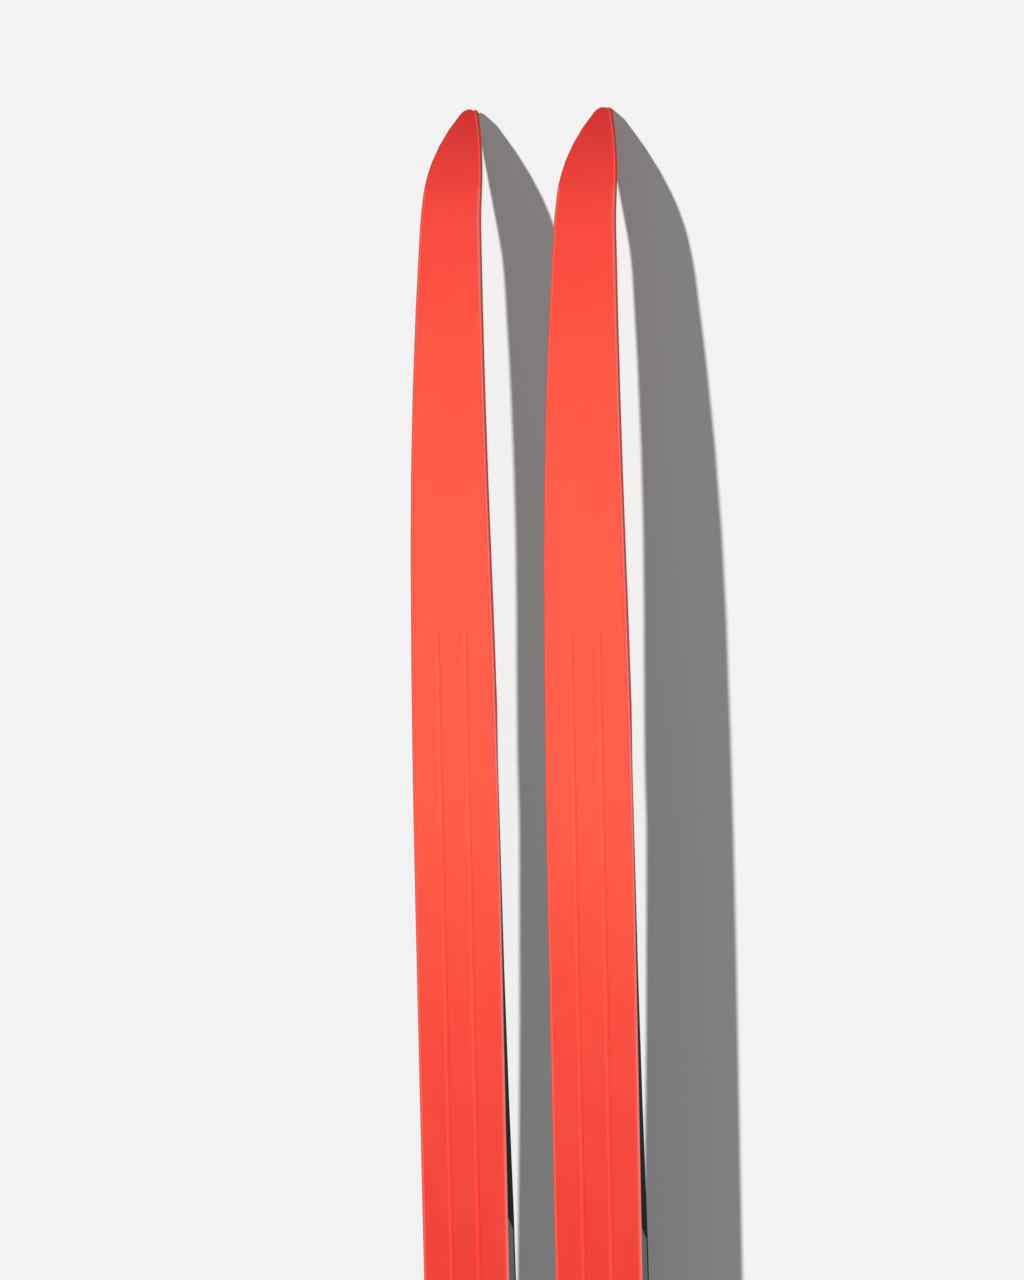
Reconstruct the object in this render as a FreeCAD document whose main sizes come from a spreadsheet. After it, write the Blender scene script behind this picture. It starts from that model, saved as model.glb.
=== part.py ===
"""A pair of long, straight alpine skis with step-in bindings, as a parametric document.

Frame: +Z up, the skis lie along Y with their tips towards -Y, and the origin is on the
ground midway between them. Every piece of one ski is drawn about that ski's own centre
line and then placed at half the spacing to the left or to the right.
"""
import FreeCAD, Part
import math
import os
import re

import Sketcher

# Driving dimensions in millimetres and degrees; they fill the spreadsheet.
SIZES = {
    # ski outline, seen from above
    "ski_length": 2180, "ski_width": 68, "ski_spacing": 106,
    "taper_length": 560, "flank_radius": 10610, "flank_turn": 2.7,
    "shoulder_radius": 127.5, "nose_radius": 6.7, "nose_turn": 29.5,
    "tail_block": 30, "tail_corner": 14,
    # side view: two tangent arcs lift the tip, a long wedge thickens the ski to its platform
    "lift_length": 316, "lead_radius": 2500, "lead_turn": 5.32, "curl_radius": 150, "curl_turn": 46,
    "wedge_start": 470, "platform_start": -215, "platform_end": 418,
    "tip_thickness": 4.6, "ski_thickness": 15, "tail_thickness": 6,
    # layers
    "base_thickness": 1.4, "edge_height": 2, "edge_width": 2, "edge_start": 55,
    "cap_thickness": 1, "laminate_thickness": 0.6,
    "groove_width": 2.6, "groove_depth": 0.8, "groove_spacing": 22,
    "groove_start": 365, "groove_ramp": 30, "groove_tail_gap": 150,
    "sidewall_width": 7, "sidewall_start": 790, "sidewall_end": 1910,
    "sidewall_slant": 16, "sidewall_cover": 2.4,
    "cap_lean": 0.45, "sidewall_lean": 0.06, "lean_height": 20,
    # boot and binding datum
    "boot_centre": 115, "sole_length": 305, "riser_height": 9, "riser_width": 62,
    "riser_start": -158, "riser_end": 405, "recess_width": 18, "recess_depth": 5, "sole_rise": 8.6,
    "screw_radius": 2.6, "screw_head_radius": 4.5, "screw_head_height": 2.2, "screw_bite": 8,
    # toe piece
    "toe_base_width": 56, "toe_base_height": 4, "toe_base_front": 110, "toe_base_back": 48,
    "toe_width": 52, "toe_bore_radius": 8.5, "toe_bore_rise": 12,
    "wing_pin_offset": 14, "wing_pin_back": 21, "wing_pin_radius": 3, "wing_hub_radius": 8.5,
    "slot_low": 7, "slot_high": 29, "lug_height": 19.8,
    "slide_width": 50, "slide_gap": 0.05, "run_gap": 0.05,
    "guide_start": 12, "guide_end": 32, "guide_depth": 1.8, "guide_gap": 0.1,
    # heel piece
    "track_width": 52, "track_length": 122, "track_floor": 3, "track_height": 10,
    "track_wall": 3, "track_lip": 3, "carriage_gap": 0.1,
    "cheek_thickness": 4, "jaw_width": 31.6,
    "jaw_pivot_back": 66, "jaw_pivot_rise": 22, "jaw_pin_radius": 4,
    "heel_radius": 35.6, "heel_wall": 7.4, "heel_lug": 30.8, "heel_lip": 6.6,
    "lever_pivot_back": 28, "lever_pivot_rise": 52, "lever_pin_radius": 2.5,
    "heel_bore_radius": 9, "heel_bore_rise": 34,
    "setting_radius": 3, "setting_head_radius": 6, "setting_head_height": 4, "slot_depth": 1.6,
    # brake
    "brake_back": -24, "brake_rise": 4.4, "brake_wire": 3, "brake_arm_out": 40,
    "brake_arm_length": 80, "brake_rest_angle": 14, "pedal_length": 62, "pedal_width": 33,
    "brake_spring_radius": 3.7, "brake_spring_wire": 0.5, "brake_spring_pitch": 1.6,
    "brake_spring_start": 9.6, "brake_spring_length": 4.8, "brake_spring_room": 0.5,
    "foot_start": 64, "foot_end": 94, "foot_inner": 35.6, "foot_outer": 46, "foot_half": 5,
    "bearing_width": 13, "bearing_inner": 17, "bearing_half": 12, "bearing_height": 8,
}

DOC = FreeCAD.newDocument("AlpineSkis")
SHEET = DOC.addObject("Spreadsheet::Sheet", "Sizes")
NODES = []

# Places that many pieces share, as formulas over the spreadsheet's names.
TIP = "(-ski_length / 2)"
TAIL = "(ski_length / 2)"
TOE = "(boot_centre - sole_length / 2)"
HEEL = "(boot_centre + sole_length / 2)"
RISER_TOP = "(ski_thickness + riser_height)"
TOE_FLOOR = f"({RISER_TOP} + toe_base_height)"
SOLE = f"({RISER_TOP} + sole_rise)"
BRAKE_Y = f"({HEEL} + brake_back)"
BRAKE_Z = f"({RISER_TOP} + brake_rise)"


def fill_sheet():
    """Write one named cell per driving dimension."""
    for row, (alias, number) in enumerate(SIZES.items(), start=1):
        SHEET.set(f"A{row}", str(number))
        SHEET.setAlias(f"A{row}", alias)
    DOC.recompute()


def bound(formula):
    """Point the names of a formula at the spreadsheet."""
    def point(match):
        word = match.group()
        return "Sizes." + word if word in SIZES else word

    return re.sub(r"[a-z_]+", point, str(formula))


def value(formula):
    """Return the number that a formula gives now."""
    result = SHEET.evalExpression(bound(formula))
    return float(getattr(result, "Value", result))


def bind(item, **formulas):
    """Tie properties to formulas; a double underscore in a name stands for a dot."""
    for name, formula in formulas.items():
        item.setExpression(name.replace("__", "."), bound(formula))


def place(item, x="0", y="0", z="0"):
    """Tie an object's position to formulas."""
    bind(item, Placement__Base__x=x, Placement__Base__y=y, Placement__Base__z=z)


# ---------------------------------------------------------------- sketches and solids

def edge_curve(start, end, radius):
    """A line, or the short arc of a radius: positive bulges to the right of the walk."""
    if radius is None:
        return Part.LineSegment(start, end)
    size = abs(radius)
    chord = end - start
    half = chord.Length / 2
    reach = math.sqrt(max(size * size - half * half, 0.0))
    side = FreeCAD.Vector(-chord.y, chord.x, 0).normalize() * (1 if radius > 0 else -1)
    centre = (start + end) * 0.5 + side * reach
    first, last = (start, end) if radius > 0 else (end, start)
    from_angle = math.atan2(first.y - centre.y, first.x - centre.x)
    to_angle = math.atan2(last.y - centre.y, last.x - centre.x)
    circle = Part.Circle(centre, FreeCAD.Vector(0, 0, 1), size)
    return Part.ArcOfCircle(circle, from_angle, to_angle)


def draw_outline(body, plane, corners, offset):
    """Sketch a closed outline; a corner is (x, y) or (x, y, radius of the arc that leaves it)."""
    sketch = body.newObject("Sketcher::SketchObject", body.Name + "_outline")
    origin_plane = next(item for item in body.Origin.OriginFeatures if item.Role == plane)
    sketch.AttachmentSupport = [(origin_plane, "")]
    sketch.MapMode = "FlatFace"
    bind(sketch, AttachmentOffset__Base__z=offset)
    spots = [FreeCAD.Vector(value(corner[0]), value(corner[1]), 0) for corner in corners]
    radii = [corner[2] if len(corner) > 2 else None for corner in corners]
    turns = [None if radius is None else value(radius) for radius in radii]
    count = len(corners)
    ends = []
    for i in range(count):
        sketch.addGeometry(edge_curve(spots[i], spots[(i + 1) % count], turns[i]))
        forward = turns[i] is None or turns[i] > 0
        ends.append((1, 2) if forward else (2, 1))
    for i in range(count):
        following = (i + 1) % count
        sketch.addConstraint(Sketcher.Constraint("Coincident", i, ends[i][1], following, ends[following][0]))
    for i, corner in enumerate(corners):
        spot = spots[i]
        for kind, formula, number in (("DistanceX", corner[0], spot.x), ("DistanceY", corner[1], spot.y)):
            index = sketch.addConstraint(Sketcher.Constraint(kind, -1, 1, i, ends[i][0], number))
            sketch.setExpression(f"Constraints[{index}]", bound(formula))
        if radii[i] is not None:
            index = sketch.addConstraint(Sketcher.Constraint("Radius", i, abs(turns[i])))
            sketch.setExpression(f"Constraints[{index}]", bound(f"abs({radii[i]})"))
    return sketch


def slab(name, plane, corners, low, high):
    """A body: an outline on a plane, padded from low to high along the plane's own axis."""
    body = DOC.addObject("PartDesign::Body", name)
    # The XZ plane faces -Y, so its pad starts at the high end.
    offset = f"-({high})" if plane == "XZ_Plane" else low
    sketch = draw_outline(body, plane, corners, offset)
    pad = body.newObject("PartDesign::Pad", name + "_pad")
    pad.Profile = sketch
    bind(pad, Length=f"({high}) - ({low})")
    sketch.Visibility = False
    return body


def rectangle(half_width, start, end):
    """Corners of a rectangle across the centre line, from start to end along it."""
    return [(f"-({half_width})", start), (half_width, start), (half_width, end), (f"-({half_width})", end)]


def round_edges(body, radius, wanted):
    """Fillet the edges of a body that the test picks."""
    DOC.recompute()
    base = body.Tip
    names = [f"Edge{i}" for i, edge in enumerate(base.Shape.Edges, start=1) if wanted(edge)]
    fillet = body.newObject("PartDesign::Fillet", body.Name + "_fillet")
    fillet.Base = (base, names)
    bind(fillet, Radius=radius)
    body.Tip = fillet
    return body


def along(axis):
    """A test for straight edges that run along one axis: 0 for X, 1 for Y, 2 for Z."""
    def test(edge):
        direction = edge.Vertexes[-1].Point - edge.Vertexes[0].Point
        return direction.Length > 0 and abs(direction.normalize()[axis]) > 0.999
    return test


def box(name, x, y, z):
    """A block between pairs of formulas (low, high) on each axis."""
    block = DOC.addObject("Part::Box", name)
    bind(block, Length=f"({x[1]}) - ({x[0]})", Width=f"({y[1]}) - ({y[0]})", Height=f"({z[1]}) - ({z[0]})")
    place(block, x[0], y[0], z[0])
    return block


TURNS = {"X": FreeCAD.Rotation(FreeCAD.Vector(0, 1, 0), 90),
         "Y": FreeCAD.Rotation(FreeCAD.Vector(1, 0, 0), -90),
         "Z": FreeCAD.Rotation()}


def rod(name, radius, start, length, axis):
    """A cylinder from a start point along +X, +Y or +Z."""
    cylinder = DOC.addObject("Part::Cylinder", name)
    cylinder.Placement = FreeCAD.Placement(FreeCAD.Vector(), TURNS[axis])
    bind(cylinder, Radius=radius, Height=length)
    place(cylinder, *start)
    return cylinder


def ball(name, radius, centre):
    """A sphere about a point."""
    sphere = DOC.addObject("Part::Sphere", name)
    bind(sphere, Radius=radius)
    place(sphere, *centre)
    return sphere


def coil(name, radius, wire, pitch, length, start, axis):
    """A round-wire helical spring whose axis runs along +X or +Y."""
    helix = DOC.addObject("Part::Helix", name + "_path")
    bind(helix, Radius=radius, Pitch=pitch, Height=length)
    section = DOC.addObject("Part::Circle", name + "_wire")
    section.Placement = FreeCAD.Placement(FreeCAD.Vector(), FreeCAD.Rotation(FreeCAD.Vector(1, 0, 0), 90))
    bind(section, Radius=wire, Placement__Base__x=radius)
    DOC.recompute()
    sweep = DOC.addObject("Part::Sweep", name)
    sweep.Sections = [section]
    sweep.Spine = (helix, [f"Edge{i + 1}" for i in range(len(helix.Shape.Edges))])
    sweep.Solid = True
    sweep.Frenet = True
    sweep.Placement = FreeCAD.Placement(FreeCAD.Vector(), TURNS[axis])
    place(sweep, *start)
    return sweep


def cut(name, base, *tools):
    """Take tools away from a base, one after another."""
    for number, tool in enumerate(tools, start=1):
        result = DOC.addObject("Part::Cut", name if number == len(tools) else f"{name}_step{number}")
        result.Base = base
        result.Tool = tool
        base = result
    return base


def fuse(name, *pieces):
    """Join pieces into one solid."""
    result = DOC.addObject("Part::MultiFuse", name)
    result.Shapes = list(pieces)
    result.Refine = True
    return result


def common(name, *pieces):
    """Keep the space that all the pieces share."""
    for number, piece in enumerate(pieces[1:], start=1):
        result = DOC.addObject("Part::Common", name if number == len(pieces) - 1 else f"{name}_step{number}")
        result.Base = pieces[0] if number == 1 else previous
        result.Tool = piece
        previous = result
    return previous


def group(name, *pieces):
    """Keep separate solids together as one piece."""
    result = DOC.addObject("Part::Compound", name)
    result.Links = list(pieces)
    return result


def mirror_pair(name, maker):
    """Make a left and a right copy of a piece; maker(name, sign) builds one."""
    return [maker(f"{name}_{word}", sign) for word, sign in (("l", -1), ("r", 1))]


# ---------------------------------------------------------------- the ski's forms

def plan_form(name, inset, low="-1", high="80"):
    """The ski seen from above, set in from its rim by an amount."""
    edge = f"(ski_width / 2 - {inset})"
    flank = f"(flank_radius - {inset})"
    nose = f"(nose_radius - {inset})"
    full_y = f"{TIP} + taper_length"
    flank_x = f"{edge} - {flank} * (1 - cos(flank_turn * 1 deg))"
    flank_y = f"{full_y} - {flank} * sin(flank_turn * 1 deg)"
    nose_x = f"{nose} * cos(nose_turn * 1 deg)"
    nose_y = f"{TIP} + nose_radius - {nose} * sin(nose_turn * 1 deg)"
    end_y = f"{TAIL} - tail_block"
    shoulder = f"(shoulder_radius - {inset})"
    corners = [
        (nose_x, nose_y, shoulder), (flank_x, flank_y, flank), (edge, full_y), (edge, end_y),
        (f"-{edge}", end_y), (f"-{edge}", full_y, flank), (f"-({flank_x})", flank_y, shoulder),
        (f"-({nose_x})", nose_y, nose),
    ]
    return slab(name, "XY_Plane", corners, low, high)


def level(height, middle=None, tail=None):
    """Corners of a line above the running surface, tip to tail, with its two lifting arcs."""
    contact = f"({TIP} + lift_length)"
    lead = f"(lead_radius - ({height}))"
    curl = f"(curl_radius - ({height}))"
    drop = "(lead_radius - curl_radius)"
    curl_y = f"({contact} - {drop} * sin(lead_turn * 1 deg))"
    curl_z = f"(lead_radius - {drop} * cos(lead_turn * 1 deg))"
    points = [
        (f"{curl_y} - {curl} * sin(curl_turn * 1 deg)", f"{curl_z} - {curl} * cos(curl_turn * 1 deg)"),
        (f"{contact} - {lead} * sin(lead_turn * 1 deg)", f"lead_radius - {lead} * cos(lead_turn * 1 deg)"),
        (contact, height),
    ]
    if middle is not None:
        points.append((f"{TIP} + wedge_start", height))
        points += [("platform_start", middle), ("platform_end", middle)]
    points.append((f"{TAIL} + 1", height if tail is None else tail))
    return points, curl, lead


def side_form(name, lower, upper):
    """The ski between two levels, seen from the side and padded past its full width."""
    low_points, low_curl, low_lead = level(*lower)
    high_points, high_curl, high_lead = level(*upper)
    low_radii = [low_curl, low_lead]
    corners = [(*point, low_radii[i]) if i < 2 else point for i, point in enumerate(low_points)]
    high_back = high_points[::-1]
    count = len(high_back)
    for i, point in enumerate(high_back):
        radius = {count - 3: f"-{high_lead}", count - 2: f"-{high_curl}"}.get(i)
        corners.append(point if radius is None else (*point, radius))
    return slab(name, "YZ_Plane", corners, "-ski_width", "ski_width")


def below_top(depth):
    """The level that runs a fixed depth under the ski's top."""
    return (f"tip_thickness - {depth}", f"ski_thickness - {depth}", f"tail_thickness - {depth}")


def lean_form(name, inset):
    """The ski's flanks: capped and leaning at both ends, nearly upright along the middle."""
    body = DOC.addObject("PartDesign::Body", name + "_flanks")
    half = f"(ski_width / 2 - {inset})"
    stations = [
        (f"{TIP} + 300", "0"), (f"{TIP} + 460", "cap_lean"),
        (f"{TIP} + sidewall_start", "sidewall_lean"), (f"{TIP} + sidewall_end", "sidewall_lean"),
        (f"{TAIL} - 120", "cap_lean"), (f"{TAIL} + 1", "cap_lean"),
    ]
    sketches = []
    for y, lean in stations:
        top = f"{half} - {lean} * lean_height"
        corners = [
            (f"-{half}", "-1"), (half, "-1"), (half, "edge_height"), (top, "edge_height + lean_height"),
            (f"-({top})", "edge_height + lean_height"), (f"-{half}", "edge_height"),
        ]
        sketches.append(draw_outline(body, "XZ_Plane", corners, f"-({y})"))
    loft = body.newObject("PartDesign::AdditiveLoft", name + "_loft")
    loft.Profile = sketches[0]
    loft.Sections = sketches[1:]
    loft.Ruled = True
    tip_zone = box(name + "_tip_zone", (f"-{half}", half), (f"{TIP} - 1", f"{TIP} + 300"), ("-1", "80"))
    return fuse(name, body, tip_zone)


# ---------------------------------------------------------------- pieces of one ski

def ski_forms(screws):
    """The shared forms that the layers of a ski are cut from."""
    rim = cut("edge_ring", plan_form("plan_edge_outer", "0"), plan_form("plan_edge_inner", "edge_width"))
    rim_zone = box("rim_zone", ("-ski_width", "ski_width"), (f"{TIP} + edge_start", TAIL), ("-1", "80"))
    forms = {
        "screws": screws,
        "edges": common("edges_local", rim, side_form("edge_band", ("0",), ("edge_height",)), rim_zone),
        "plan": plan_form("plan", "0"),
        "inner_plan": plan_form("inner_plan", "cap_thickness"),
        "inner_flanks": lean_form("inner", "cap_thickness"),
    }
    whole = side_form("envelope_band", ("edge_height",), below_top("0"))
    forms["envelope"] = common("envelope", whole, forms["plan"], lean_form("outer", "0"))
    forms["sidewalls"] = sidewall_solids(forms)
    return forms


def running_base(forms):
    """The sintered running surface with its two guide grooves."""
    sheet = common("base_sheet", side_form("base_band", ("0",), ("base_thickness",)), forms["plan"])
    start = f"({TIP} + groove_start)"
    end = f"({TAIL} - groove_tail_gap)"
    profile = [
        (start, "-1"), (end, "-1"), (end, "0"), (f"{end} - groove_ramp", "groove_depth"),
        (f"{start} + groove_ramp", "groove_depth"), (start, "0"),
    ]

    def groove(name, sign):
        middle = f"{sign} * groove_spacing / 2"
        return slab(name, "YZ_Plane", profile, f"{middle} - groove_width / 2", f"{middle} + groove_width / 2")

    return cut("running_base", sheet, forms["edges"], *mirror_pair("base_groove", groove))


def bottom_laminate(forms):
    """The reinforced layer between the running surface and the core."""
    band = side_form("bottom_band", ("base_thickness",), ("edge_height",))
    return cut("bottom_laminate", common("bottom_sheet", band, forms["plan"]), forms["edges"])


def sidewall_solids(forms):
    """The upright sidewalls along the middle, with slanted ends where the cap takes over."""
    start = f"({TIP} + sidewall_start)"
    end = f"({TIP} + sidewall_end)"
    profile = [
        (start, "edge_height"), (end, "edge_height"),
        (f"{end} - sidewall_slant", "ski_thickness"), (f"{start} + sidewall_slant", "ski_thickness"),
    ]

    def strip(name, sign):
        inner = "ski_width / 2 - sidewall_width"
        outer = "ski_width / 2 + 1"
        low, high = (inner, outer) if sign > 0 else (f"-({outer})", f"-({inner})")
        return slab(name, "YZ_Plane", profile, low, high)

    strips = group("sidewall_strips", *mirror_pair("sidewall_strip", strip))
    band = side_form("sidewall_band", ("edge_height",), below_top("sidewall_cover"))
    return common("sidewalls_local", forms["envelope"], band, strips)


def wood_core(forms):
    """The laminated wood core."""
    band = side_form("core_band", ("edge_height",), below_top("(cap_thickness + laminate_thickness)"))
    block = common("core_block", band, forms["inner_plan"], forms["inner_flanks"])
    return cut("wood_core", block, forms["sidewalls"], forms["screws"])


def top_laminate(forms):
    """The reinforced layer over the core."""
    under = below_top("(cap_thickness + laminate_thickness)")
    band = side_form("top_band", under, below_top("cap_thickness"))
    sheet = common("top_sheet", band, forms["inner_plan"], forms["inner_flanks"])
    return cut("top_laminate", sheet, forms["screws"])


def cap_topsheet(forms):
    """The cap: a shell over the top that wraps down to the edges at both ends."""
    band = side_form("cap_hollow_band", ("edge_height",), below_top("cap_thickness"))
    hollow = common("cap_hollow", band, forms["inner_plan"], forms["inner_flanks"])
    return cut("cap_topsheet", forms["envelope"], hollow, forms["sidewalls"], forms["screws"])


def tail_protector():
    """The moulded block that closes the tail."""
    half = "ski_width / 2"
    start = f"{TAIL} - tail_block"
    corners = [
        (f"-{half}", start), (half, start), (half, f"{TAIL} - tail_corner", "tail_corner"),
        (f"{half} - tail_corner", TAIL), (f"-{half} + tail_corner", TAIL, "tail_corner"),
        (f"-{half}", f"{TAIL} - tail_corner"),
    ]
    return slab("tail_protector", "XY_Plane", corners, "0", "tail_thickness + 0.8")


SCREW_SPOTS = [
    (18, f"{TOE} - 101", TOE_FLOOR), (20, f"{TOE} - 5", TOE_FLOOR),
    (19, "boot_centre - 40", f"({RISER_TOP} - screw_head_height)"),
    (19, "boot_centre + 25", f"({RISER_TOP} - screw_head_height)"),
    (15, f"{HEEL} + 6", f"({RISER_TOP} + track_floor - screw_head_height)"),
    (15, f"{HEEL} + 108", f"({RISER_TOP} + track_floor - screw_head_height)"),
]


def mounting_screws():
    """Pan-head screws that hold the plates down into the core."""
    screws = []
    for number, (x, y, seat) in enumerate(SCREW_SPOTS):
        for sign in (-1, 1):
            name = f"screw_{number}_{'l' if sign < 0 else 'r'}"
            foot = "ski_thickness - screw_bite"
            shank = rod(name + "_shank", "screw_radius", (sign * x, y, foot), f"{seat} - ({foot})", "Z")
            head = rod(name + "_head", "screw_head_radius", (sign * x, y, seat), "screw_head_height", "Z")
            screws.append(fuse(name, shank, head))
    return group("mounting_screws_local", *screws)


def riser_plate(screws):
    """The plate that lifts the binding off the ski."""
    outline = rectangle("riser_width / 2", "riser_start", "riser_end")
    plate = slab("riser_block", "XY_Plane", outline, "ski_thickness", RISER_TOP)
    round_edges(plate, "8", along(2))
    outline = rectangle("recess_width / 2", "boot_centre - 60", "boot_centre + 40")
    window = slab("riser_recess", "XY_Plane", outline, f"{RISER_TOP} - recess_depth", f"{RISER_TOP} + 1")
    round_edges(window, "6", along(2))
    return cut("riser_plate", plate, window, screws)


# ---------------------------------------------------------------- toe piece

def toe_base(screws):
    """The toe piece's foot, with the guide for the sliding pad."""
    outline = rectangle("toe_base_width / 2", f"{TOE} - toe_base_front", f"{TOE} + toe_base_back")
    plate = slab("toe_foot", "XY_Plane", outline, RISER_TOP, TOE_FLOOR)
    round_edges(plate, "9", along(2))
    guide = box("toe_guide", ("-30", "30"), (f"{TOE} + guide_start", f"{TOE} + guide_end"),
                (f"{TOE_FLOOR} - guide_depth", f"{TOE_FLOOR} + 1"))
    return cut("toe_base", plate, guide, screws)


def toe_pins():
    """The two upright pivot pins of the wings."""
    def pin(name, sign):
        spot = (f"{sign} * wing_pin_offset", f"{TOE} - wing_pin_back", TOE_FLOOR)
        return rod(name, "wing_pin_radius", spot, "32.5", "Z")

    return group("toe_pivot_pins_local", *mirror_pair("toe_pin", pin))


def toe_housing(pins):
    """The housing: a low nose that rises to the bridge over the wings."""
    floor = TOE_FLOOR
    profile = [
        (f"{TOE} - 92", floor), (f"{TOE} - 13", floor), (f"{TOE} - 11", f"{floor} + 33"),
        (f"{TOE} - 22", f"{floor} + 37"), (f"{TOE} - 42", f"{floor} + 37"), (f"{TOE} - 84", f"{floor} + 25"),
        (f"{TOE} - 93", f"{floor} + 17"),
    ]
    half = "toe_width / 2"
    block = slab("toe_block", "YZ_Plane", profile, f"-{half}", half)
    top_z = value(f"{floor} + 16")
    sharp = along(0)
    round_edges(block, "6", lambda edge: not sharp(edge) and edge.BoundBox.ZMin > top_z)
    slot = box("toe_slot", (f"-{half} - 1", f"{half} + 1"), (f"{TOE} - 33", f"{TOE} - 5"),
               (f"{floor} + slot_low", f"{floor} + slot_high"))
    bore_z = f"{floor} + toe_bore_rise"
    bore = rod("toe_bore", "toe_bore_radius", ("0", f"{TOE} - 80", bore_z), "50", "Y")
    screw_way = rod("toe_screw_way", "setting_radius + run_gap", ("0", f"{TOE} - 100", bore_z), "30", "Y")
    sink = rod("toe_screw_sink", "setting_head_radius + 0.5", ("0", f"{TOE} - 100", bore_z), "13", "Y")
    window = box("toe_window", ("-4.2", "4.2"), (f"{TOE} - 76", f"{TOE} - 56"), (bore_z, f"{floor} + 40"))
    return cut("toe_housing", block, slot, bore, screw_way, sink, window, pins)


def toe_wing(name, sign):
    """One wing: a hub on its pin, a side arm and a lip over the boot's toe."""
    floor = TOE_FLOOR
    low = f"{floor} + slot_low + 0.2"
    high = f"{floor} + slot_high - 0.2"
    lip_low = f"{SOLE} + lug_height"
    arm = [(8, -15), (16, -28), (27, -27), (36, -13), (40, 4), (39, 16), (32, 18), (27, 6), (17, -6)]
    lip = [(6, -13), (16, -28), (27, -27), (36, -13), (40, 4), (39, 16), (32, 21), (23, 12), (14, 2)]

    def outline(points):
        walk = points if sign > 0 else points[::-1]
        return [(sign * x, f"{TOE} + {y}") for x, y in walk]

    side = slab(name + "_arm", "XY_Plane", outline(arm), low, lip_low)
    cover = slab(name + "_lip", "XY_Plane", outline(lip), lip_low, high)
    spot = (f"{sign} * wing_pin_offset", f"{TOE} - wing_pin_back", low)
    hub = rod(name + "_hub", "wing_hub_radius", spot, f"{high} - ({low})", "Z")
    hole = rod(name + "_hole", "wing_pin_radius + run_gap", spot, "40", "Z")
    return cut(name, fuse(name + "_solid", side, cover, hub), hole)


def afd_plate():
    """The low-friction pad under the boot's toe, which slides sideways in the toe base."""
    low = f"{TOE_FLOOR} + slide_gap"
    outline = rectangle("slide_width / 2", f"{TOE} + 4", f"{TOE} + 44")
    pad = slab("afd_pad", "XY_Plane", outline, low, SOLE)
    round_edges(pad, "5", along(2))
    key = box("afd_key", ("-22", "22"),
              (f"{TOE} + guide_start + guide_gap", f"{TOE} + guide_end - guide_gap"),
              (f"{TOE_FLOOR} - guide_depth + guide_gap", f"{low} + 1"))
    return fuse("afd_plate", pad, key)


def toe_spring():
    """The release spring in the toe housing."""
    start = ("0", f"{TOE} - 58", f"{TOE_FLOOR} + toe_bore_rise")
    return coil("toe_spring", "6.2", "1.3", "4.6", "22", start, "Y")


def toe_spring_nut():
    """The nut that loads the spring, with its pointer in the housing's window."""
    centre_z = f"{TOE_FLOOR} + toe_bore_rise"
    disc = rod("toe_nut_disc", "toe_bore_radius - 0.1", ("0", f"{TOE} - 68", centre_z), "8", "Y")
    pointer = box("toe_pointer", ("-4", "4"), (f"{TOE} - 66", f"{TOE} - 62"),
                  (f"{centre_z} + 5", f"{centre_z} + 12"))
    hole = rod("toe_nut_hole", "setting_radius + run_gap", ("0", f"{TOE} - 70", centre_z), "12", "Y")
    return cut("toe_spring_nut", fuse("toe_nut_solid", disc, pointer), hole)


def setting_screw(name, low_y, high_y, centre_z, head_at_low):
    """A slotted release-setting screw along Y, with its head outside one end of the shank."""
    shank = rod(name + "_shank", "setting_radius", ("0", low_y, centre_z), f"({high_y}) - ({low_y})", "Y")
    head_y = f"{low_y}" if head_at_low else f"({high_y}) - setting_head_height"
    head = rod(name + "_head", "setting_head_radius", ("0", head_y, centre_z), "setting_head_height", "Y")
    if head_at_low:
        slot_y = (f"({low_y}) - 1", f"({low_y}) + slot_depth")
    else:
        slot_y = (f"({high_y}) - slot_depth", f"({high_y}) + 1")
    slot = box(name + "_slot", ("-8", "8"), slot_y, (f"{centre_z} - 0.8", f"{centre_z} + 0.8"))
    return cut(name, fuse(name + "_solid", shank, head), slot)


# ---------------------------------------------------------------- heel piece

def heel_track(screws):
    """The channel that the heel piece slides in."""
    half = "track_width / 2"
    floor = f"{RISER_TOP} + track_floor"
    top = f"{RISER_TOP} + track_height"
    wall = f"{half} - track_wall"
    lip = f"{wall} - track_lip"
    under_lip = f"{top} - track_lip"
    right = [(half, RISER_TOP), (half, top), (lip, top), (lip, under_lip), (wall, under_lip), (wall, floor)]
    left = [(f"-({x})", z) for x, z in right[::-1]]
    channel = slab("heel_channel", "XZ_Plane", right + left, f"{HEEL} - 4", f"{HEEL} - 4 + track_length")
    return cut("heel_track", channel, screws)


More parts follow.
